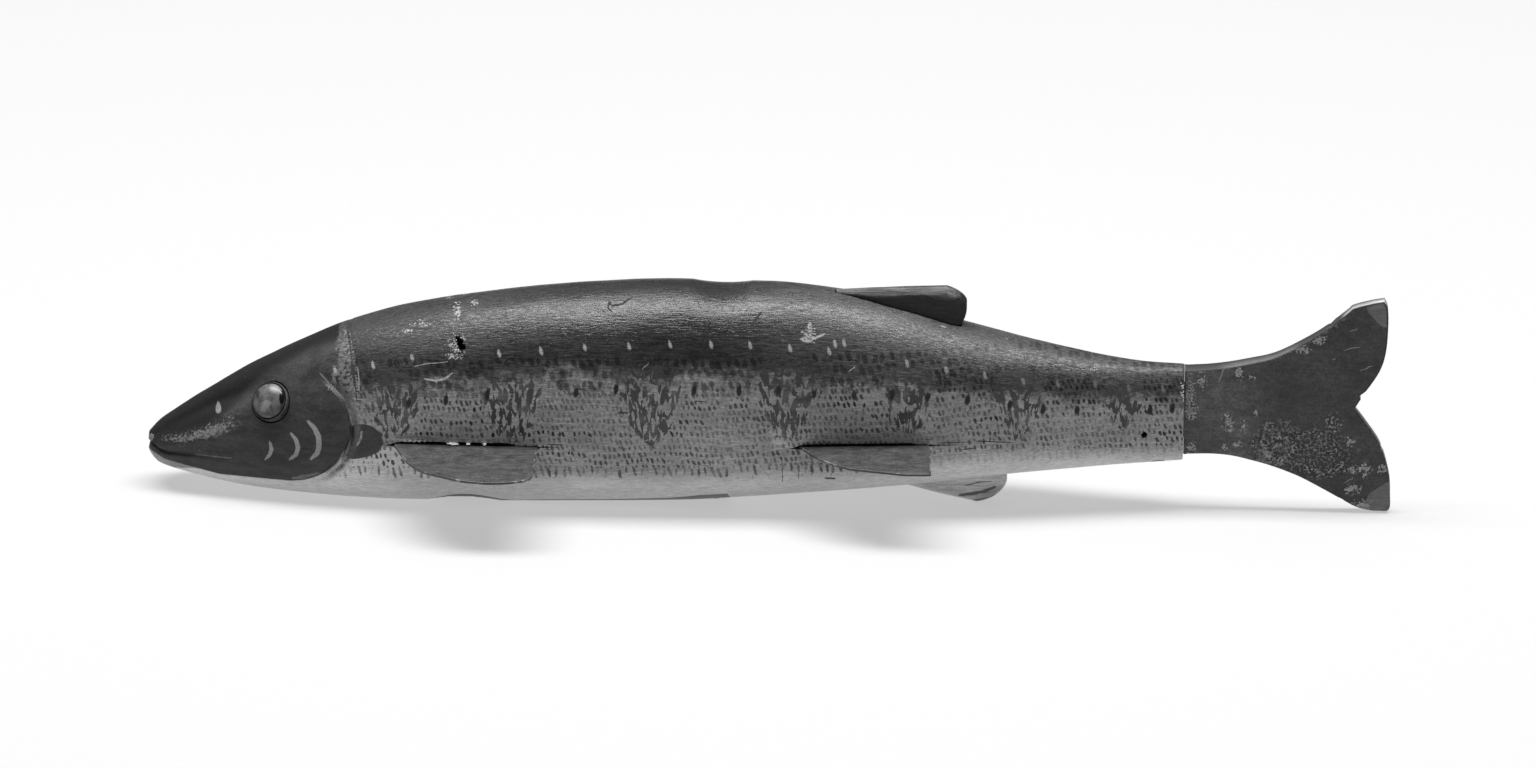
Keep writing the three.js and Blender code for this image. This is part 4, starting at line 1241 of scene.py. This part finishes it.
def store_body_paint(made):
    """Stores where each paint lies: distances in millimetres, negative inside a painted shape."""
    points = coordinates(made)
    px, py = mirrored_pixels(points)
    right = points[:, 1] > 0

    # Large areas
    top, bottom = follow(BACK_EDGE, px), follow(FLANK_EDGE, px)
    head = outside(px, py, HEAD_EDGE) * PIXEL
    crown = smooth(follow(CROWN_EDGE, px) - py, -14, 6)
    lift = 1 + 0.16 * smooth(py, 405, 470)
    # Painted fill light above the side fins, where they shade the flank
    for start, end, most in LIFTED_PLACES:
        within = smooth(px, start - 8, start + 8) * smooth(px, end + 8, end - 8)
        lift += most * within * smooth(py, 402, 444) * (py < 450)
    keep(
        made, level=(follow(ROW_LINE, px) - py) * PIXEL, belly=(follow(BELLY_EDGE, px) - py) * PIXEL,
        belly_soft=follow(BELLY_SOFTNESS, px), down=np.clip((py - top) / (bottom - top), 0, 1), lift=lift,
        back_tone=follow(BACK_TONES, px), matt=follow(MATT_PLACES, px), head=head,
        head_tone=TONE["head"] * (1 - 0.9 * crown), head_gloss=0.5 + 0.45 * crown,
        nape=outside(px, py, NAPE_WEAR) * PIXEL, patch=outside(px, py, SHOULDER_PATCH) * PIXEL,
        tick_room=smooth(head, 1.6, 3) * smooth(px, 1192, 1180), long_room=np.interp(px, (860, 960), (1, 0.3)),
        grainy=0.45 + 0.55 * smooth(head, 0.5, 4) * smooth(py, 470, 440),
    )

    # Painted highlight on the snout's ledge, the gill ramp, and the painted shadow where the belly rests on the floor
    distance, share, _ = near_path(px, py, SNOUT_BAND)
    reach = 5 + 7 * share
    band = 0.85 * smooth(distance, 1.5 * reach, 0.2 * reach) * smooth(share, 1, 0.45) * (1 - 0.7 * crown)
    distance, share, side = near_path(px, py, GILL_LINE)
    outer = distance * PIXEL * side
    ramp = smooth(outer, 0.3, 0.7) * smooth(outer, 1.9, 1.3) * smooth(share, 0.25, 0.4) * smooth(share, 0.85, 0.7)
    # The lowest edge of the body in each column, which carries the painted shadow where the belly rests
    limb_at = np.arange(100, 1240, LIMB_STEP)
    limb = np.zeros(len(limb_at))
    column = ((px - limb_at[0]) / LIMB_STEP + 0.5).astype(int)
    np.maximum.at(limb, np.clip(column, 0, len(limb_at) - 1), py)
    keep(made, band=band, ramp=ramp, contact=follow(CONTACT_LINE, px) - (np.interp(px, limb_at, limb) - py))

    # Spots, wear and strokes
    px = px + np.where(right, FAR_SHIFT, 0)
    marks = [oval(px, py, at, 2.6, 5.6, 0.12) for at in DARK_MARKS]
    dots = [oval(px, py, at, 1.8, 4.2, -0.2, 0.25) for at in LIGHT_DOTS]
    dots.append(oval(px, py, SNOUT_DROP, 2.4, 6.4, 0, 0.5))
    crescents = []
    for half, path in CRESCENTS:
        distance, share, _ = near_path(px, py, path)
        crescents.append(distance - half * np.sqrt(np.clip(4 * share * (1 - share), 0, 1) * 0.8 + 0.2))
    lip = 1.2 * smooth(np.hypot((px - 151) / 0.8, py - 437), 5, 2.5)
    filler = np.zeros(px.shape)
    for start, _, end in KERF_CHIPS:
        near = smooth(px, start - 1.5, start) * smooth(px, end + 1.5, end)
        filler = np.maximum(filler, near * smooth(np.abs(py - KERF_ROW), 4, 2))
    keep(
        made, marks=np.min(marks, axis=0) * PIXEL, dots=np.min(dots, axis=0) * PIXEL,
        crescents=np.min(crescents, axis=0) * PIXEL, dot_force=np.interp(px, (900, 950, 1100), (1, 0.65, 0.3)),
        worn=np.maximum(ovals_near(px, py, WORN_PLACES), lip), filler=np.where(right, 0, filler),
        chip_tone=np.interp(px, (345, 385, 1150, 1180), (0.4, 0.95, 0.95, 1.6)),
    )
    for name, strokes in (("light_lines", LIGHT_SCRATCHES), ("dark_lines", DARK_SCRATCHES), ("rubbed", RUBBED_LINES)):
        keep_strokes(made, name, px, py, strokes, ~right)

    # Parr clusters, with places inside each for its brush strokes
    envelope = np.full(px.shape, -2.0)
    stroke_x, stroke_z = np.zeros(px.shape), np.zeros(px.shape)
    for i, (x, y, half_width, half_height) in enumerate(PARR_MARKS):
        low = (py - y) / half_height
        narrowing = 1 - 0.35 * np.clip(low, -1, 1)
        inside = 1 - ((px - x) / (half_width * narrowing)) ** 2 - low**2
        closer = inside > envelope
        envelope = np.where(closer, inside, envelope)
        stroke_x = np.where(closer, (px - x) / narrowing * PIXEL + 20 * i, stroke_x)
        stroke_z = np.where(closer, (y - py) * PIXEL, stroke_z)
    keep(made, parr=envelope, stroke_x=stroke_x, stroke_z=stroke_z)

    # How far a cut lies below the skin, for the shade painted deep inside the cuts
    x, y, z = points.T
    top, bottom, middle, half, square, _ = section_at(x)
    reach = np.where(z >= middle, top - middle, middle - bottom)
    spread = (np.abs(y) / half) ** square + (np.abs(z - middle) / reach) ** square
    sunk = (1 - spread ** (1 / square)) * np.minimum(half, reach)
    dipped = (np.abs(x - BACK_SCOOP["at"]) < BACK_SCOOP["length"]) * (z > 0.9 * BODY_HEIGHT)
    open_air = (z < 0.6) | (x > BODY_LENGTH - 0.1)
    keep(made, depth=np.where(open_air, 0, sunk - body_relief(points) - dipped - 0.35))


def tongue_outline(grow):
    top = TAIL_ROOT_TOP - TONGUE_INSET + grow
    bottom = TAIL_ROOT_BOTTOM + TONGUE_INSET - grow
    front, rear = BODY_LENGTH - TONGUE_LENGTH - grow, BODY_LENGTH + TONGUE_THICKNESS
    return [(front, bottom), (rear, bottom), (rear, top), (front, top)]


def weight_plan(grow):
    """The weight's outline seen from above. The curve at each end runs backwards, so the outline crosses itself."""
    ends = []
    rear = WEIGHT_AT + WEIGHT_LENGTH
    for x, half, way in ((WEIGHT_AT - grow, WEIGHT_HALF_WIDTH, 1), (rear + grow, WEIGHT_REAR_HALF_WIDTH, -1)):
        turns = [math.pi / 2 * step / CORNER_STEPS for step in range(CORNER_STEPS + 1)][::way]
        corner = WEIGHT_CORNER
        ends += [(x + way * corner * (1 - math.sin(a)), half + grow - corner * (1 - math.cos(a))) for a in turns]
    return ends + [(x, -y) for x, y in ends[::-1]]


def build_weight():
    made = plate("lead_weight", even_steps(weight_plan(0), step=0.6), WEIGHT_DEPTH / 2, 0.25, 1.0)
    x, y, z = coordinates(made).T
    points = np.column_stack([x, z, WEIGHT_DEPTH / 2 + y])
    x, y, z = points.T
    under = z < WEIGHT_DEPTH / 2
    dents = np.abs(bumps(points, (5, 3, 3), 0.35, 3)) + np.abs(bumps(points, (1.6, 1.2, 2), 0.12, 8))
    inner = smooth(z, 1.0, 0.0) * under
    z += 0.5 * smooth(x, 109, 116) * under
    z += np.minimum(dents, 0.22) * inner * smooth(np.abs(y), 3.6, 2.4)
    move_to(made, points)
    finished(turned_out(made), "belly_weight", lead_finish())


def store_tail_paint(made, outline):
    points = coordinates(made)
    x, y, z = points.T
    px, py = to_pixels(points)
    rim = near_path(x, z, [*outline, outline[0]])[0]
    share = (x - BODY_LENGTH) / TAIL_LENGTH
    across = y / (TAIL_THICKNESS / 2 * (1 - share * (1 - TAIL_TIP_THICKNESS / TAIL_THICKNESS)))
    upper = smooth(z, TAIL_FORK[1], TAIL_FORK[1] + 3)
    near = smooth(across, -0.45, -0.85)
    tip = smooth(px, 1338, 1350)
    crest = TAIL_ROOT_TOP + TAIL_RISE
    rear = smooth(share, 0.93, 0.95) * smooth(z, crest - 0.3, crest - 1.3)
    tone = TONE["top_edge"] * (1 - 0.7 * smooth(across, -0.3, 0.5))
    tone = np.maximum(tone, near * TONE["near_edge"] * smooth(px, 1205, 1235) * smooth(px, 1310, 1290))
    tip_tone = tip * TONE["tip_edge"] * smooth(across, 0.3, -0.1) * smooth(across, -1, -0.7) * (1 - 0.8 * rear)
    nail = np.hypot(px - TAIL_NAIL[0], py - TAIL_NAIL[1]) - TAIL_NAIL_RADIUS
    keep(
        made, tips=np.min([outside(px, py, corners) for corners in TAIL_TIPS], axis=0) * PIXEL,
        flaking=ovals_near(px, py, FLAKING_PLACES), worn=ovals_near(px, py, TAIL_WEAR),
        top_wear=smooth(near_path(px, py, TOP_WEAR)[0], 6, 2) * (across < 0.6),
        edge=upper * smooth(rim, 0.45 + 0.15 * tip, 0.1) + 0.25 * (1 - upper) * smooth(rim, 0.3, 0.05),
        edge_tone=np.maximum(tone, tip_tone), nail=nail * PIXEL + 9 * (y > 0),
    )
    keep_strokes(made, "light_lines", px, py, TAIL_LINES, y < 0)


def build_tail():
    outline = even_steps(tail_outline(), step=0.5)
    centre = np.array([BODY_LENGTH + TAIL_LENGTH * 0.55, TAIL_FORK[1]])
    for px, py, depth in TAIL_NICKS:
        shown = to_pixels(np.column_stack([outline[:, 0], np.zeros(len(outline)), outline[:, 1]]))
        near = smooth(np.hypot(shown[0] - px, shown[1] - py), 4.5, 0.5)
        inward = centre - outline
        inward /= np.linalg.norm(inward, axis=1, keepdims=True)
        outline = outline + inward * (near * depth)[:, None]
    made = plate("painted_tail", outline, TAIL_THICKNESS / 2, TAIL_BEVEL, 0.8)
    points = coordinates(made)
    x, y, _ = points.T
    front = (x < BODY_LENGTH + TAIL_SEAM + 1.2 * TAIL_BEVEL) & (np.abs(y) > TAIL_THICKNESS / 2 - 1.2 * TAIL_BEVEL)
    y[front] = np.sign(y[front]) * TAIL_THICKNESS / 2
    y *= 1 - (x - BODY_LENGTH) / TAIL_LENGTH * (1 - TAIL_TIP_THICKNESS / TAIL_THICKNESS)
    y += bumps(points, (11, 9, 5), 0.14, 21) + bumps(points, (2.6, 9, 1.1), 0.03, 22)
    move_to(made, points)
    cut(made, [prism("tongue", tongue_outline(0), -TONGUE_THICKNESS / 2, TONGUE_THICKNESS / 2)], "UNION")
    store_tail_paint(made, outline)
    finished(made, "tail", tail_paint())


def build_carved(name, node, fin, line_at, up, paint):
    made = loft(name, carved_rings(fin, line_at, up, 0, 90, 72))
    points = coordinates(made)
    x, y, z = points.T
    rise = (z - line_at(x)) * up
    uneven = bumps(points, (6, 4, 3), 0.09, 41) + bumps(points, (2.5, 2, 0.9), 0.03, 42)
    y += np.sign(y) * (uneven - 0.04) * smooth(rise, 0, 1.2)
    move_to(made, points)
    px, py = mirrored_pixels(points)
    # The dorsal's upper facet carries a painted highlight, the anal fin's lower rear a painted shade
    if up > 0:
        facet = smooth(follow(DORSAL_RIDGE, px) - py, -1.2, 1.2)
    else:
        facet = smooth((x - fin["at"]) / fin["length"], 0.5, 0.95) * smooth(rise, 0.8, 4)
        keep_strokes(made, "streaks", px, py, ANAL_STREAKS, 1)
    keep(made, facet=facet)
    finished(made, node, paint, 30)


def build_sheet(name, node, fin, side, paint):
    flank = float(flank_at(fin["at"] + fin["length"] / 2, fin["level"]))
    root = flank - KERF_DEPTH + FIT_GAP
    edge = [(u * fin["length"], flank + v * fin["reach"]) for u, v in (*fin["edge"], fin["corner"])]
    outline = [(0, root), edge[0], *catmull(edge[:-1], 6), edge[-1], (fin["heel"] * fin["length"], root)]
    outline = even_steps(outline, step=0.45)
    made = plate(name, outline, SHEET_THICKNESS / 2, 0.12, 1.2)
    x, y, reach = coordinates(made).T
    rim = near_path(x, reach, [*outline, outline[0]])[0]
    points = np.column_stack([x, side * reach, SHEET_THICKNESS / 2 + y])
    upper_side = smooth(points[:, 2], SHEET_THICKNESS - 0.05, SHEET_THICKNESS - 0.2)
    out = smooth(reach, flank + 1, flank + fin["reach"])
    points[:, 2] += out * bumps(points, (16, 12, 50), 0.5, 61 + side) - 0.12 * out
    move_to(made, points)
    turned_out(made, fin_place(fin))
    keep(made, edge=smooth(rim, 0.9, 0.1), rim=smooth(rim, 0.25, 0.02) * upper_side)
    finished(made, node, paint)


def build_eye(name, node, side, paint):
    radius = EYE_DIAMETER / 2
    dome = radius - EYE_DOME_INSET
    profile = [(0, -EYE_SEAT), (radius - 0.05, -EYE_SEAT), (radius, 0)]
    profile += [(radius - inset, EYE_RIM + rise) for inset, rise in EYE_RIM_PROFILE]
    for step in range(EYE_DOME_STEPS):
        angle = math.pi / 2 * step / EYE_DOME_STEPS
        profile.append((dome * math.cos(angle), EYE_RIM + EYE_DOME * math.sin(angle)))
    profile.append((0, EYE_RIM + EYE_DOME))
    place = flank_frame(EYE_AT, EYE_LEVEL, side)
    made = lathe(name, profile, 96, place)
    points = coordinates(made)
    local = np.array([place.inverted() @ Vector(p) for p in points])
    across = np.hypot(local[:, 0], local[:, 2])
    px, py = mirrored_pixels(points)
    lower_right = smooth(px - EYE_MIDDLE[0] + 0.7 * (py - EYE_MIDDLE[1]), 0, 14)
    keep(
        made, rim=smooth(across, dome - 0.02, dome + 0.1), rim_tone=0.012 + 0.03 * lower_right,
        groove=smooth(np.abs(across - dome - 0.05), 0.12, 0.03), pupil=oval(px, py, *PUPIL) * PIXEL,
        pale=ovals_near(px, py, EYE_PALE) + 0.3, shades=ovals_near(px, py, EYE_SHADES),
    )
    finished(made, node, paint, 60)


def aimed(name, data, place, facing):
    """An object for a camera or a light that looks in a direction."""
    made = bpy.data.objects.new(name, data)
    made.location = place
    made.rotation_euler = facing.to_track_quat("-Z", "Y").to_euler()
    bpy.context.scene.collection.objects.link(made)
    return made


def build_studio():
    scene = bpy.context.scene
    scene.view_settings.view_transform = "Standard"
    camera = bpy.data.cameras.new("camera")
    camera.sensor_width = SENSOR
    camera.lens = LENS
    camera.clip_start, camera.clip_end = 0.05, 20
    scene.camera = aimed("camera", camera, CAMERA_AIM + camera_back() * CAMERA_DISTANCE, -camera_back())
    corners = [(-1, -1), (1, -1), (1, 1), (-1, 1)]
    floor = mesh_object("floor", [(x * FLOOR_HALF, y * FLOOR_HALF, 0) for x, y in corners], [(0, 1, 2, 3)])
    p = Paint("floor_paint")
    tone = p.noise((3, 3, 3), 2, 99).swing(0.01) + TONE["floor"]
    glow = {"Specular IOR Level": 0.1, "Emission Color": (1, 1, 1, 1), "Emission Strength": FLOOR_GLOW}
    floor.data.materials.append(p.finish(tone, 0.9, p.noise((2, 2, 2), 2, 98) * 0.001, **glow))
    for name, place, width, depth, power in LIGHTS:
        light = bpy.data.lights.new(name, "AREA")
        light.shape = "RECTANGLE"
        light.size, light.size_y = width, depth
        light.energy = power
        aimed(name, light, place, -Vector(place))
    scene.world = bpy.data.worlds.new("studio")
    scene.world.use_nodes = True
    sky = scene.world.node_tree.nodes["Background"]
    sky.inputs["Color"].default_value = (1, 1, 1, 1)
    sky.inputs["Strength"].default_value = WORLD_LIGHT


build_studio()
build_body()
build_weight()
build_tail()
build_carved("carved_dorsal", "dorsal_fin", DORSAL, back_at, 1, dorsal_paint())
build_carved("carved_anal", "anal_fin", ANAL, belly_at, -1, anal_paint())
sheet_paint = fin_paint()
eye_gloss = eye_finish()
for side, word in ((-1, "left"), (1, "right")):
    build_sheet(f"sheet_pectoral_{word}", f"pectoral_fin_{word}", PECTORAL, side, sheet_paint)
    build_sheet(f"sheet_pelvic_{word}", f"pelvic_fin_{word}", PELVIC, side, sheet_paint)
    build_eye(f"domed_eye_{word}", f"eye_{word}", side, eye_gloss)
